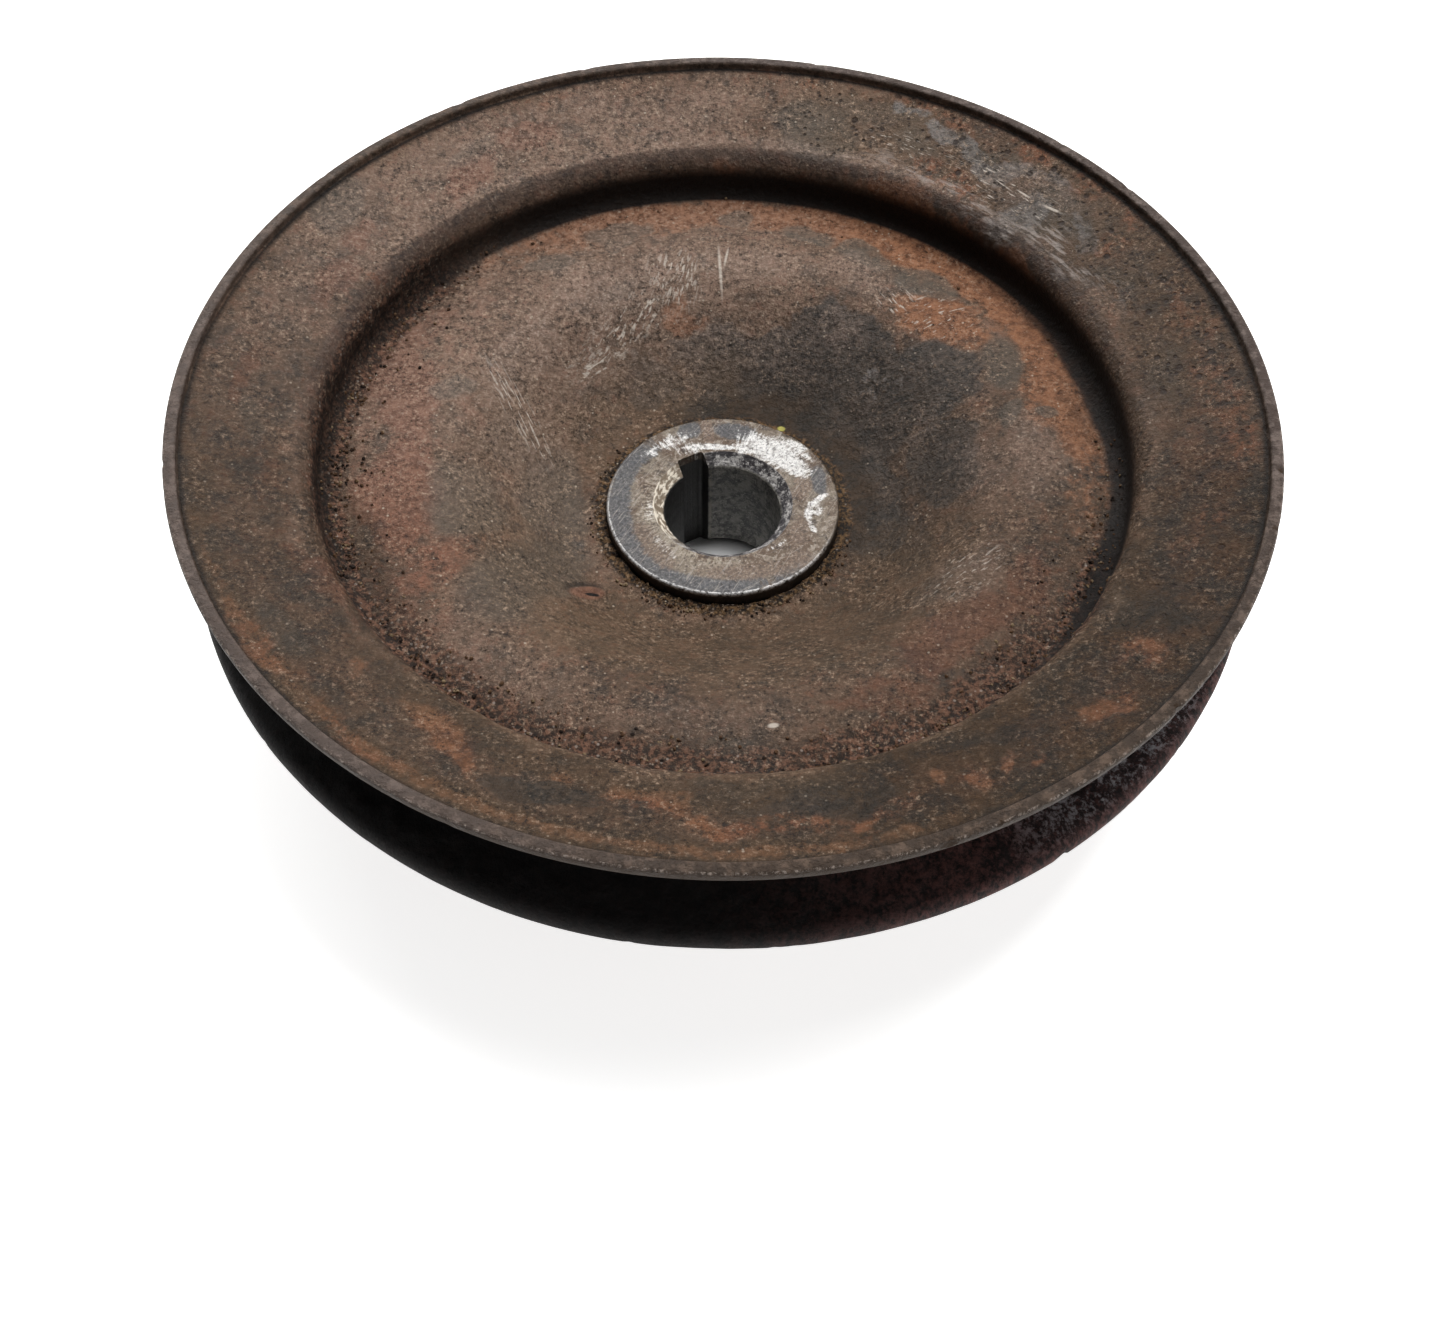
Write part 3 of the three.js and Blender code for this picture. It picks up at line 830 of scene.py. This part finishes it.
def sheet_back():
    """Rear faces: even brown rust with some orange and dirt."""
    f = Finish("rusted_back")
    broad = f.noise(15.0, detail=5.0, roughness=0.6, shift=5.0)
    blotch = f.noise(4.0, detail=7.0, roughness=0.68)
    grain = f.noise(0.9, detail=5.0, roughness=0.75, shift=21.0)
    f.colour = f.mix(f.rise(broad, 0.38, 0.62), (96, 78, 68), (128, 98, 80))
    f.paint(f.rise(blotch, 0.52, 0.66), (150, 106, 78))
    f.paint(f.rise(blotch, 0.46, 0.34), (74, 66, 62))
    f.paint(f.rise(grain, 0.46, 0.3), (32, 28, 26), 0.6)
    f.paint(f.rise(grain, 0.57, 0.72), (176, 154, 138), 0.5)
    relief = f.plus(f.times(grain, 0.12), f.times(blotch, 0.25))
    return f.finish(f.rise(blotch, 0.3, 0.7, 0.6, 0.78), relief)


def hub_chamfer_colour(f, blotch, grain, chatter):
    """Bore chamfer: dark with pale crust, with painted light on the left where it faces the lamps, and
    tool chatter.
    """
    steel = f.mix(f.rise(blotch, 0.4, 0.6), (78, 74, 78), (132, 128, 130))
    crust = f.times(f.rise(blotch, 0.49, 0.54), f.rise(grain, 0.42, 0.52))
    steel = f.mix(f.times(crust, 0.85), steel, (0.5, 0.48, 0.46, 1))
    painted_lit_side = f.mix(chatter, (0.22, 0.17, 0.12, 1), (0.8, 0.72, 0.6, 1))
    return f.mix(f.rise(f.towards(172), 0.3, 0.9), steel, painted_lit_side)


def hub_bore_colour(f, blotch, grain):
    """Bore and keyway: painted shade, black in the keyway and darker on the side away from the light,
    and paler where light falls in.
    """
    wall = f.mix(f.rise(blotch, 0.42, 0.6), (58, 57, 54), (178, 174, 166))
    wall = f.mix(f.rise(grain, 0.52, 0.64, 0.0, 0.7), wall, (240, 234, 224))
    # Painted shade on the side of the bore away from the light
    wall = f.mix(f.rise(f.towards(56), 0.6, 0.2), wall, (40, 38, 36))
    # Painted shade, near black, in the keyway
    in_keyway = f.rise(f.radius, BORE_RADIUS + 0.1, BORE_RADIUS + 0.5, 0.0, 0.85)
    return f.mix(in_keyway, wall, (20, 20, 19))


def worn_hub():
    """Turned hub steel: scoured bright on the end face, partly a painted highlight, stained in rings,
    with painted shade black in the bore and keyway.
    """
    f = Finish("worn_hub_steel")
    broad = f.noise(6.0, detail=5.0, roughness=0.62)
    blotch = f.noise(2.0, detail=6.0, roughness=0.74, shift=6.0)
    grain = f.noise(0.55, detail=4.0, roughness=0.85, shift=15.0)
    scuffs = f.rings(1.6, 3.4, 0.28, 0.72, 2.0)
    ragged = f.plus(f.times(blotch, 0.5), f.times(grain, 0.36), f.times(scuffs, 0.14))
    fleck = f.rise(grain, 0.4, 0.62)
    face = f.rise(f.height, HUB_LENGTH - 0.9, HUB_LENGTH - 0.3)

    # End face: brown, with bluish stains, tan rust, and scoured bright steel that is partly a painted
    # highlight
    f.colour = f.mix(f.rise(broad, 0.38, 0.62), (112, 89, 70), (148, 134, 117))
    f.paint(f.rise(blotch, 0.52, 0.62), (196, 182, 166), 0.8)
    f.paint(f.rise(blotch, 0.47, 0.36), (66, 50, 40), 0.9)
    blue = f.broken(f.coat("blue"), ragged, 2.4, 0.25, 0.75)
    f.paint(blue, f.mix(fleck, (66, 71, 80), (112, 116, 122)), 0.8)
    tan = f.broken(f.coat("tan"), ragged, 2.4, 0.25, 0.75)
    f.paint(tan, f.mix(fleck, (106, 74, 50), (158, 126, 96)), 0.75)
    cream = f.times(f.rise(f.radius, 14.6, 12.2), f.rise(f.towards(215), 0.0, 0.7),
                    f.rise(ragged, 0.46, 0.54))
    f.paint(cream, (204, 192, 172), 0.6)
    # Scoured steel, partly a painted highlight towards the light
    bright = f.broken(f.coat("bright"), ragged, 3.0, 0.3, 0.9)
    bright = f.times(bright, f.rise(blotch, 0.38, 0.52, 0.55, 1.0))
    f.paint(bright, f.mix(fleck, (0.38, 0.37, 0.36, 1), (0.82, 0.81, 0.79, 1)), 0.95)
    lines = f.most(f.strokes(62, 5.0, 0.28, 0.6, 0.68), f.strokes(38, 6.0, 0.22, 0.63, 0.7, 5.0))
    f.paint(f.times(lines, face), (214, 204, 194), 0.4)
    shown = f.but(1.0, f.times(blue, 0.5))
    f.paint(f.times(f.rise(grain, 0.48, 0.32, 0.0, 0.85), shown), (40, 32, 28))
    f.paint(f.times(f.rise(grain, 0.55, 0.66, 0.0, 0.75), shown), (222, 210, 198))
    rim = f.times(f.rise(f.radius, HUB_RADIUS - 0.55, HUB_RADIUS - 0.4), face,
                  f.rise(f.towards(-110), -0.2, 0.6))
    f.paint(f.times(rim, f.rise(grain, 0.4, 0.55)), (0.55, 0.54, 0.53, 1), 0.7)

    # Outside wall: brown
    outside = f.times(f.but(1.0, face), f.rise(f.radius, BORE_RADIUS + 5, BORE_RADIUS + 6))
    f.paint(outside, f.mix(f.rise(blotch, 0.4, 0.6), (28, 21, 17), (62, 48, 38)))

    # Chamfer, bore and keyway
    mouth_radius = BORE_RADIUS + BORE_CHAMFER
    mouth_depth = HUB_LENGTH - BORE_CHAMFER
    chatter = f.rings(9.0, 0.5, 0.44, 0.6, 8.0)
    bevel = f.times(f.rise(f.radius, mouth_radius + 0.12, mouth_radius - 0.12),
                    f.rise(f.height, mouth_depth - 0.1, mouth_depth + 0.2))
    f.paint(bevel, hub_chamfer_colour(f, blotch, grain, chatter))
    inside = f.times(f.rise(f.radius, BORE_RADIUS + 2.7, BORE_RADIUS + 2.4),
                     f.rise(f.height, HUB_LENGTH - 1.5, HUB_LENGTH - 1.8))
    f.paint(inside, hub_bore_colour(f, blotch, grain))

    # One rubbed corner beside the keyway, with a painted highlight along it
    corner = math.radians(KEYWAY_ANGLE) - math.asin(KEYWAY_WIDTH / 2 / BORE_RADIUS)
    beside = f.math("ABSOLUTE", f.but(f.angle, corner - 0.03))
    rubbed_edge_highlight = f.times(f.rise(beside, 0.035, 0.015), f.rise(blotch, 0.38, 0.52), inside)
    f.paint(rubbed_edge_highlight, (196, 186, 170), 0.8)

    dull = f.most(outside, tan, bright, bevel, inside)
    metallic = f.math("SUBTRACT", 0.55, f.times(dull, 0.45), clamp=True)
    roughness = f.rise(blotch, 0.3, 0.7, 0.42, 0.6)
    relief = f.plus(f.times(ragged, 0.16), f.times(grain, 0.05), f.times(chatter, bevel, 0.06))
    return f.finish(roughness, relief, metallic=metallic, specular=0.5)


def weld_metal():
    """Scaled weld metal: dark brown with rust in the ripples."""
    f = Finish("weld_metal")
    blotch = f.noise(2.2, detail=6.0, roughness=0.7)
    grain = f.noise(0.6, detail=4.0, roughness=0.75, shift=8.0)
    f.colour = f.mix(f.rise(blotch, 0.4, 0.6), (40, 32, 27), (96, 74, 58))
    f.paint(f.rise(grain, 0.54, 0.68), (170, 150, 130), 0.6)
    relief = f.plus(f.times(blotch, 0.15), f.times(grain, 0.05))
    return f.finish(f.rise(blotch, 0.3, 0.7, 0.5, 0.72), relief, metallic=0.3)


def crumb_material():
    """Loose rust crumbs: black, brown and sandy."""
    f = Finish("rust_crumbs")
    pick = f.noise(1.6, detail=2.0)
    f.colour = f.mix(f.rise(pick, 0.42, 0.52), (46, 34, 27), (112, 82, 58))
    f.paint(f.rise(pick, 0.56, 0.62), (168, 144, 112))
    return f.finish(0.85, f.times(f.noise(0.2), 0.03), specular=0.2)


def floor_finish():
    """Pale floor that glows a little round the pulley and inside the bore."""
    f = Finish("pale_floor")
    f.colour = f.mix(f.rise(f.noise(40.0), 0.3, 0.7), (0.80, 0.80, 0.79, 1), (0.83, 0.83, 0.82, 1))
    material = f.finish(0.8, None, specular=0.2)
    shader = next(node for node in f.tree.nodes if node.type == "BSDF_PRINCIPLED")
    shader.inputs["Emission Color"].default_value = (1, 1, 1, 1)
    around = f.rise(f.radius, 18.0, 42.0, 0.0, FLOOR_GLOW)
    in_bore = f.rise(f.radius, 11.0, 4.0, 0.0, BORE_GLOW)
    f.put(shader.inputs["Emission Strength"], f.most(around, in_bore))
    return material


# -------------------- the pressed sheets

front_material = sheet_front()
groove_material = groove_face()
back_material = sheet_back()
hub_material = worn_hub()
bead_material = weld_metal()


def front_cone(radius):
    """Height of the front disc's middle line in the flange that bounds the groove."""
    return RIM_TOP - LIP_DEPTH - (LIP_MIDDLE - radius) * GROOVE_SLOPE


def rear_cone(radius):
    """Height of the rear flange's middle line, the mirror image of the front one."""
    return 2 * GROOVE_MIDDLE - front_cone(radius)


def ring_middle(radius):
    """Height of the rear flange's middle line where its ring lies behind the front disc."""
    return CUP_FLOOR + (CUP_RADIUS - radius) * WEB_SLOPE - NESTING * math.hypot(1, WEB_SLOPE)


def lip_nicks(at, radius):
    """Small dents in a lip's outer edge, most of them on the right."""
    where = 0.3 + 0.7 * Zones(at, 0).sector(-15, 60, 20)
    return -0.5 * rise(fractal(at, 2.6, 71), 0.7, 1.15) * rise(radius, 80.0, 81.5) * where


front_points, front_normals, front_seen = sheet_outline([
    (LIP_MIDDLE, RIM_TOP, 0),
    (LIP_MIDDLE, front_cone(LIP_MIDDLE), LIP_BEND),
    (CUP_RADIUS, front_cone(CUP_RADIUS), CUP_MOUTH_BEND),
    (CUP_RADIUS, CUP_FLOOR, CUP_FLOOR_BEND),
    (CROWN_RADIUS, CUP_FLOOR + CROWN_RISE, CROWN_BEND),
    (DISH_RADIUS, WEB_MIDDLE_AT_HUB, DISH_BEND),
    (HUB_RADIUS + WEB_TO_HUB_GAP, WEB_MIDDLE_AT_HUB, 0),
])


def front_relief(at, radius, index):
    """Dents, lumps of dirt, pits and the scab. Nothing grows outwards at the lip."""
    front = front_seen[index].astype(float)
    coats = front_coats(at)
    on_lip = rise(radius, LIP_INNER - 0.8, LIP_INNER)
    lumps = np.clip(fractal(at, 1.7, 41, 2) + 0.2, 0, None)
    pits = rise(fractal(at, 2.4, 57, 2), 0.5, 0.9)
    moved = (0.10 * fractal(at, 24, 11) + 0.03 * fractal(at, 4.0, 23)) * (1 - 0.7 * on_lip)
    moved += front * coats["dirt"] * (1 - on_lip) * 0.45 * lumps
    moved -= front * coats["pitted"] * (1 - on_lip) * 0.3 * pits
    moved += front * 0.35 * Zones(at, 0).oval(*SCAB_PLACE, 5.6, 3.6, SCAB_TURN, soft=0.5)
    at_edge = (radius > LIP_INNER) | (at[:, 2] > RIM_TOP - 0.6)
    moved = np.where(at_edge, np.minimum(moved, 0), moved)
    return moved + lip_nicks(at, radius)


def make_front_sheet():
    radius = front_points[:, 0]
    behind = np.where(radius > CUP_RADIUS, 1, 2)
    slots = np.where(front_seen | (radius > OUTSIDE_WALL), 0, behind)
    piece = turned_piece("front_sheet", front_points, front_normals, front_relief,
                         [front_material, groove_material, back_material], slots)
    store_coats(piece, front_coats(mesh_points(piece)))
    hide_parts("front_disc")
    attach(piece, "root")


def make_rear_sheet():
    points, normals, groove_side = sheet_outline([
        (LIP_MIDDLE, RIM_BOTTOM, 0),
        (LIP_MIDDLE, rear_cone(LIP_MIDDLE), LIP_BEND),
        (COLLAR_RADIUS, rear_cone(COLLAR_RADIUS), COLLAR_MOUTH_BEND),
        (COLLAR_RADIUS, ring_middle(COLLAR_RADIUS), REAR_RING_BEND),
        (REAR_RING_INNER, ring_middle(REAR_RING_INNER), 0),
    ])
    in_groove = groove_side | (points[:, 0] > LIP_INNER)

    def relief(at, radius, index):
        crust = np.clip(fractal(at, 1.9, 43, 2), -0.4, 1.2)
        moved = 0.08 * fractal(at, 22, 13) + 0.03 * fractal(at, 4.0, 27)
        moved += in_groove[index] * 0.22 * crust * (1 - rise(radius, LIP_INNER - 0.8, LIP_INNER + 0.4))
        at_edge = (radius > LIP_INNER) | (at[:, 2] < RIM_BOTTOM + 0.6)
        moved = np.where(at_edge, np.minimum(moved, 0), moved)
        return moved + lip_nicks(at, radius)

    piece = turned_piece("rear_sheet", points, normals, relief, [back_material, groove_material],
                         in_groove.astype(int))
    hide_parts("rear_flange")
    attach(piece, "root")


def crumb_shape():
    """Corners of an icosahedron of radius 1."""
    golden = (1 + math.sqrt(5)) / 2
    corners = []
    for x, y, z in ((0, 1, golden), (1, golden, 0), (golden, 0, 1)):
        for a in (1, -1) if x else (1,):
            for b in (1, -1) if y else (1,):
                for c in (1, -1) if z else (1,):
                    corners.append((a * x, b * y, c * z))
    return np.array(corners) / math.hypot(1, golden)


def make_crumbs():
    """Loose rust crumbs in the trough and round the hub, lying on the front sheet."""
    random = np.random.default_rng(17)
    seen = front_points[front_seen & (front_points[:, 0] < WEB_REACH)]
    seen = seen[np.argsort(seen[:, 0])]
    lump = crumb_shape()
    lump_faces = hull_faces(lump)
    vertices, faces = [], []
    for low, high, tries in CRUMB_BANDS:
        for _ in range(tries):
            radius = random.uniform(low, high)
            angle = math.radians(random.uniform(0, 360))
            busy = Zones(np.array([[math.cos(angle), math.sin(angle), 0.0]]), 0)
            share = max(0.02, 0.9 * busy.sector(-80, 70, 20)[0], 0.7 * busy.sector(180, 34, 20)[0])
            size = random.uniform(0.14, 0.42) * random.uniform(0.6, 1)
            jitter = random.uniform(0.65, 1.25, (len(lump), 1))
            if random.uniform() > share:
                continue
            spin = np.linalg.qr(random.normal(size=(3, 3)))[0]
            spin[:, 0] *= np.sign(np.linalg.det(spin))
            height = np.interp(radius, seen[:, 0], seen[:, 1]) + 0.35 * size
            centre = np.array([radius * math.cos(angle), radius * math.sin(angle), height])
            base = len(vertices)
            vertices.extend((centre + (lump * jitter * size) @ spin.T).tolist())
            faces.extend([[base + corner for corner in face] for face in lump_faces])
    piece = new_object("rust_crumbs", vertices, faces, [crumb_material()])
    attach(piece, "root")


def hull_faces(corners):
    """Outward triangles between an icosahedron's nearest corners."""
    count = len(corners)
    edge = min(np.linalg.norm(corners[0] - corners[k]) for k in range(1, count)) * 1.05
    near = [[np.linalg.norm(a - b) < edge for b in corners] for a in corners]
    faces = []
    for a in range(count):
        for b in range(a + 1, count):
            for c in range(b + 1, count):
                if near[a][b] and near[b][c] and near[a][c]:
                    facing = np.cross(corners[b] - corners[a], corners[c] - corners[a])
                    faces.append([a, b, c] if np.dot(facing, corners[a]) > 0 else [a, c, b])
    return faces


# -------------------- hub and welds

def keyway_cutter():
    """Straight prism with rounded outer corners, along the bore."""
    half = KEYWAY_WIDTH / 2
    inner = KEYWAY_DEPTH - KEYWAY_CORNER
    outline = [(0, -half)]
    for centre_y, first in ((-half + KEYWAY_CORNER, -90), (half - KEYWAY_CORNER, 0)):
        for step in range(7):
            angle = math.radians(first + step * 15)
            x = inner + KEYWAY_CORNER * math.cos(angle)
            y = centre_y + KEYWAY_CORNER * math.sin(angle)
            outline.append((x, y))
    outline.append((0, half))
    cosine, sine = math.cos(math.radians(KEYWAY_ANGLE)), math.sin(math.radians(KEYWAY_ANGLE))
    outline = [(x * cosine - y * sine, x * sine + y * cosine) for x, y in outline]
    count = len(outline)
    vertices = [(x, y, z) for z in (-CUT_PAST_END, HUB_LENGTH + CUT_PAST_END) for x, y in outline]
    faces = [tuple(range(count))[::-1], tuple(range(count, 2 * count))]
    faces += [(i, (i + 1) % count, count + (i + 1) % count, count + i) for i in range(count)]
    return new_object("keyway_cutter", vertices, faces)


def cut(piece, cutter):
    """Takes the cutter's shape out of the piece, then deletes the cutter."""
    modifier = piece.modifiers.new("cut", "BOOLEAN")
    modifier.object = cutter
    modifier.solver = "EXACT"
    result = bpy.data.meshes.new_from_object(piece.evaluated_get(bpy.context.evaluated_depsgraph_get()))
    piece.modifiers.clear()
    piece.data = result
    bpy.data.objects.remove(cutter)


# Stains, and scoured steel with a painted highlight, on the hub's front face, each an oval: x, y,
# length, width, turn, strength
HUB_BLUE = [
    (2.6, 16, 7.5, 4.2, -10, 1), (-5.6, 15.8, 4.4, 3.6, 20, 1), (16, 5.2, 6.4, 3.2, 100, 1),
    (-12.6, 10.4, 6, 2.4, 52, 0.8), (11, -14.5, 10, 3.6, 38, 0.6), (-8, 8.4, 3, 2, 0, 0.4),
]
HUB_TAN = [
    (12.8, 4, 5.6, 3.2, 90, 1), (12.8, -5.5, 8, 3.4, 80, 0.8), (4, -14, 16, 4, 5, 0.8),
    (-2.4, 15.8, 7.5, 2.2, 90, 1), (-11, -9.5, 12, 4.4, -50, 0.8), (12.4, -11.4, 4.4, 4, 0, 0.9),
    (-13.4, 3, 8, 3, 95, 0.5),
]
HUB_BRIGHT = [
    (8.4, 11.6, 11, 6, -36, 1), (12.4, 8.4, 6, 4, -54, 0.9), (11.8, 13, 6, 2.4, -45, 0.8),
    (4.6, 12.4, 6, 3.2, 10, 0.8), (-1.8, 12.1, 11, 1.3, 0, 1), (-10.4, 12.6, 9, 2.2, 42, 0.65),
    (-7.4, 13.6, 6, 2, 30, 0.5), (-5, 11.8, 5, 3, 10, 0.55), (15.7, 0.6, 4.6, 1.6, 38, 0.9),
    (14, -2, 3, 1.8, 90, 0.85), (14.7, -4.6, 3.4, 1.2, -67, 0.8), (9, -8.2, 4, 0.8, 40, 0.6),
    (15.4, -1.6, 3, 2.6, 90, 0.55), (13.2, 11.4, 5, 1.6, -45, 0.7), (-12.6, -1.4, 7, 2.4, 85, 0.35),
    (-9.5, -9.5, 7, 1.6, -45, 0.4),
]


def hub_coats(points):
    """Masks of the stains, and of the scoured steel with its painted highlight, on the hub's front face.
    """
    zones = Zones(points, ragged=0.35)
    return {
        "blue": np.maximum(0.9 * zones.ring(15.9, 19.5, 0.9, 215, 82, 14), zones.ovals(HUB_BLUE)),
        "tan": zones.ovals(HUB_TAN, soft=0.6),
        "bright": zones.ovals(HUB_BRIGHT, soft=0.5),
    }


def make_hub():
    """Turned hub with tool chatter on the bore's chamfer and a nicked front edge, keyway cut out."""
    chamfer = BORE_RADIUS + BORE_CHAMFER
    points, outward = closed_outline([
        (HUB_RADIUS, HUB_LENGTH / 2, 0),
        (HUB_RADIUS, HUB_LENGTH, HUB_EDGE_ROUNDING),
        (chamfer, HUB_LENGTH, BORE_EDGE_ROUNDING),
        (BORE_RADIUS, HUB_LENGTH - BORE_CHAMFER, BORE_EDGE_ROUNDING),
        (BORE_RADIUS, BORE_CHAMFER, BORE_EDGE_ROUNDING),
        (chamfer, 0, BORE_EDGE_ROUNDING),
        (HUB_RADIUS, 0, HUB_EDGE_ROUNDING),
        (HUB_RADIUS, HUB_LENGTH / 2, 0),
    ])

    def relief(at, radius, index):
        angle = np.arctan2(at[:, 1], at[:, 0])
        on_chamfer = (radius < chamfer - 0.1) & (radius > BORE_RADIUS + 0.1)
        on_edge = (radius > HUB_RADIUS - 0.6) & (at[:, 2] > HUB_LENGTH - 1)
        chatter = np.sin(angle * 46 + 2.2 * field(at, 5.0, 5))
        moved = 0.02 * fractal(at, 2.0, 7) + 0.05 * on_chamfer * chatter
        moved -= 0.3 * on_edge * rise(fractal(at, 1.7, 91), 0.75, 1.2)
        return np.where(radius > BORE_RADIUS + 0.5, np.minimum(moved, 0), moved)

    piece = turned_piece("hub_body", points, outward, relief, [hub_material], steps=HUB_TURN_STEPS)
    cut(piece, keyway_cutter())
    smooth_mesh(piece.data, 35)
    store_coats(piece, hub_coats(mesh_points(piece)))
    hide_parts("hub")
    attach(piece, "root")


def make_hub_weld():
    """Fillet bead behind the web, with the ripples of one slow turn."""
    leg = bead_high[2] - bead_low[2]
    inner = HUB_RADIUS + WELD_TO_HUB_GAP
    top = bead_high[2] + FIT_GAP - WELD_TO_HUB_GAP
    crown = leg * 0.62
    points, outward = closed_outline([
        (inner, top - leg / 2, 0),
        (inner, top - leg, WELD_CORNER_ROUNDING),
        (inner + crown, top - crown, leg * 1.2),
        (inner + leg, top, WELD_CORNER_ROUNDING),
        (inner, top, 0.1),
        (inner, top - leg / 2, 0),
    ])

    def relief(at, radius, index):
        face = (outward[index, 0] > 0.2) & (outward[index, 1] < -0.2)
        angle = np.arctan2(at[:, 1], at[:, 0])
        ripple = np.abs(np.sin(angle * 26 + (radius - inner) * 0.35 + 0.4 * field(at, 6.0, 3)))
        return face * (0.2 * fractal(at, 5.0, 19) - 0.15 - 0.28 * (1 - ripple))

    piece = turned_piece("hub_weld_bead", points, outward, relief, [bead_material])
    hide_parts("hub_weld")
    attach(piece, "root")


def make_plug_weld(node):
    """Weld button with a rippled dome, on the back of the ring."""
    low, high = box_mm(node)
    centre = (low + high) / 2
    seed = int(node[-2:])
    rings, facets = 12, 64
    dome_height, ripple_height, dome_base = 0.35, 0.06, low[2] + 0.32
    radius = PLUG_RADIUS + PLUG_SPREAD
    angles = np.arange(facets) * 2 * math.pi / facets
    turn = np.column_stack([np.cos(angles), np.sin(angles)])
    layers = []
    for share in np.linspace(0.04, 1, rings):
        ripple = ripple_height * np.cos(share * 15 + 0.5 * np.sin(angles + seed))
        depth = dome_height * (1 - share ** 2) - ripple
        layers.append(np.column_stack([centre[:2] + turn * radius * share, dome_base - depth]))
    layers.append(np.column_stack([centre[:2] + turn * radius, np.full(facets, high[2])]))
    faces = [tuple(range(facets)), tuple(range(rings * facets, (rings + 1) * facets))[::-1]]
    for ring in range(rings):
        for facet in range(facets):
            a, b = ring * facets + facet, ring * facets + (facet + 1) % facets
            faces.append((a, a + facets, b + facets, b))
    piece = new_object(node + "_button", np.vstack(layers), faces, [bead_material])
    piece.data.flip_normals()
    smooth_mesh(piece.data, 50)
    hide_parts(node)
    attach(piece, "root")


make_front_sheet()
make_rear_sheet()
make_crumbs()
make_hub()
make_hub_weld()
for plug in sorted(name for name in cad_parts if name.startswith("plug_weld_")):
    make_plug_weld(plug)


# -------------------- floor, light and camera

def make_floor():
    """Big square, its corners in plan at each pair of signs."""
    signs = ((-1, -1), (1, -1), (1, 1), (-1, 1))
    corners = [(x * FLOOR_SIZE, y * FLOOR_SIZE, -FLOOR_GAP) for x, y in signs]
    new_object("floor", corners, [(0, 1, 2, 3)], [floor_finish()])


def soft_light(name, azimuth, elevation, distance, size, power):
    """Square area light that faces the pulley. Distances and sizes in metres."""
    light = bpy.data.lights.new(name, "AREA")
    light.size = size
    light.energy = power
    lamp = bpy.data.objects.new(name, light)
    up, round_axis = math.radians(elevation), math.radians(azimuth)
    flat = math.cos(up) * distance
    place = Vector((flat * math.cos(round_axis), flat * math.sin(round_axis), distance * math.sin(up)))
    lamp.location = place
    lamp.rotation_euler = (-place).to_track_quat("-Z", "Y").to_euler()
    bpy.context.scene.collection.objects.link(lamp)


def make_camera():
    camera = bpy.data.cameras.new("camera")
    camera.sensor_width = 36.0
    camera.lens = CAMERA_LENS
    camera.clip_start = 0.01
    camera.clip_end = 20.0
    holder = bpy.data.objects.new("camera", camera)
    holder.location = (0, -CAMERA_BACK * MM, (RIM_TOP + CAMERA_ABOVE_RIM) * MM)
    holder.rotation_euler = [math.radians(degrees) for degrees in CAMERA_TURN]
    bpy.context.scene.collection.objects.link(holder)
    bpy.context.scene.camera = holder


make_floor()
make_camera()
for light in LIGHTS:
    soft_light(*light)

world = bpy.data.worlds.new("studio")
world.use_nodes = True
background = world.node_tree.nodes["Background"]
background.inputs["Color"].default_value = (1, 1, 1, 1)
background.inputs["Strength"].default_value = WORLD_LIGHT
bpy.context.scene.world = world
bpy.context.scene.view_settings.view_transform = "Standard"
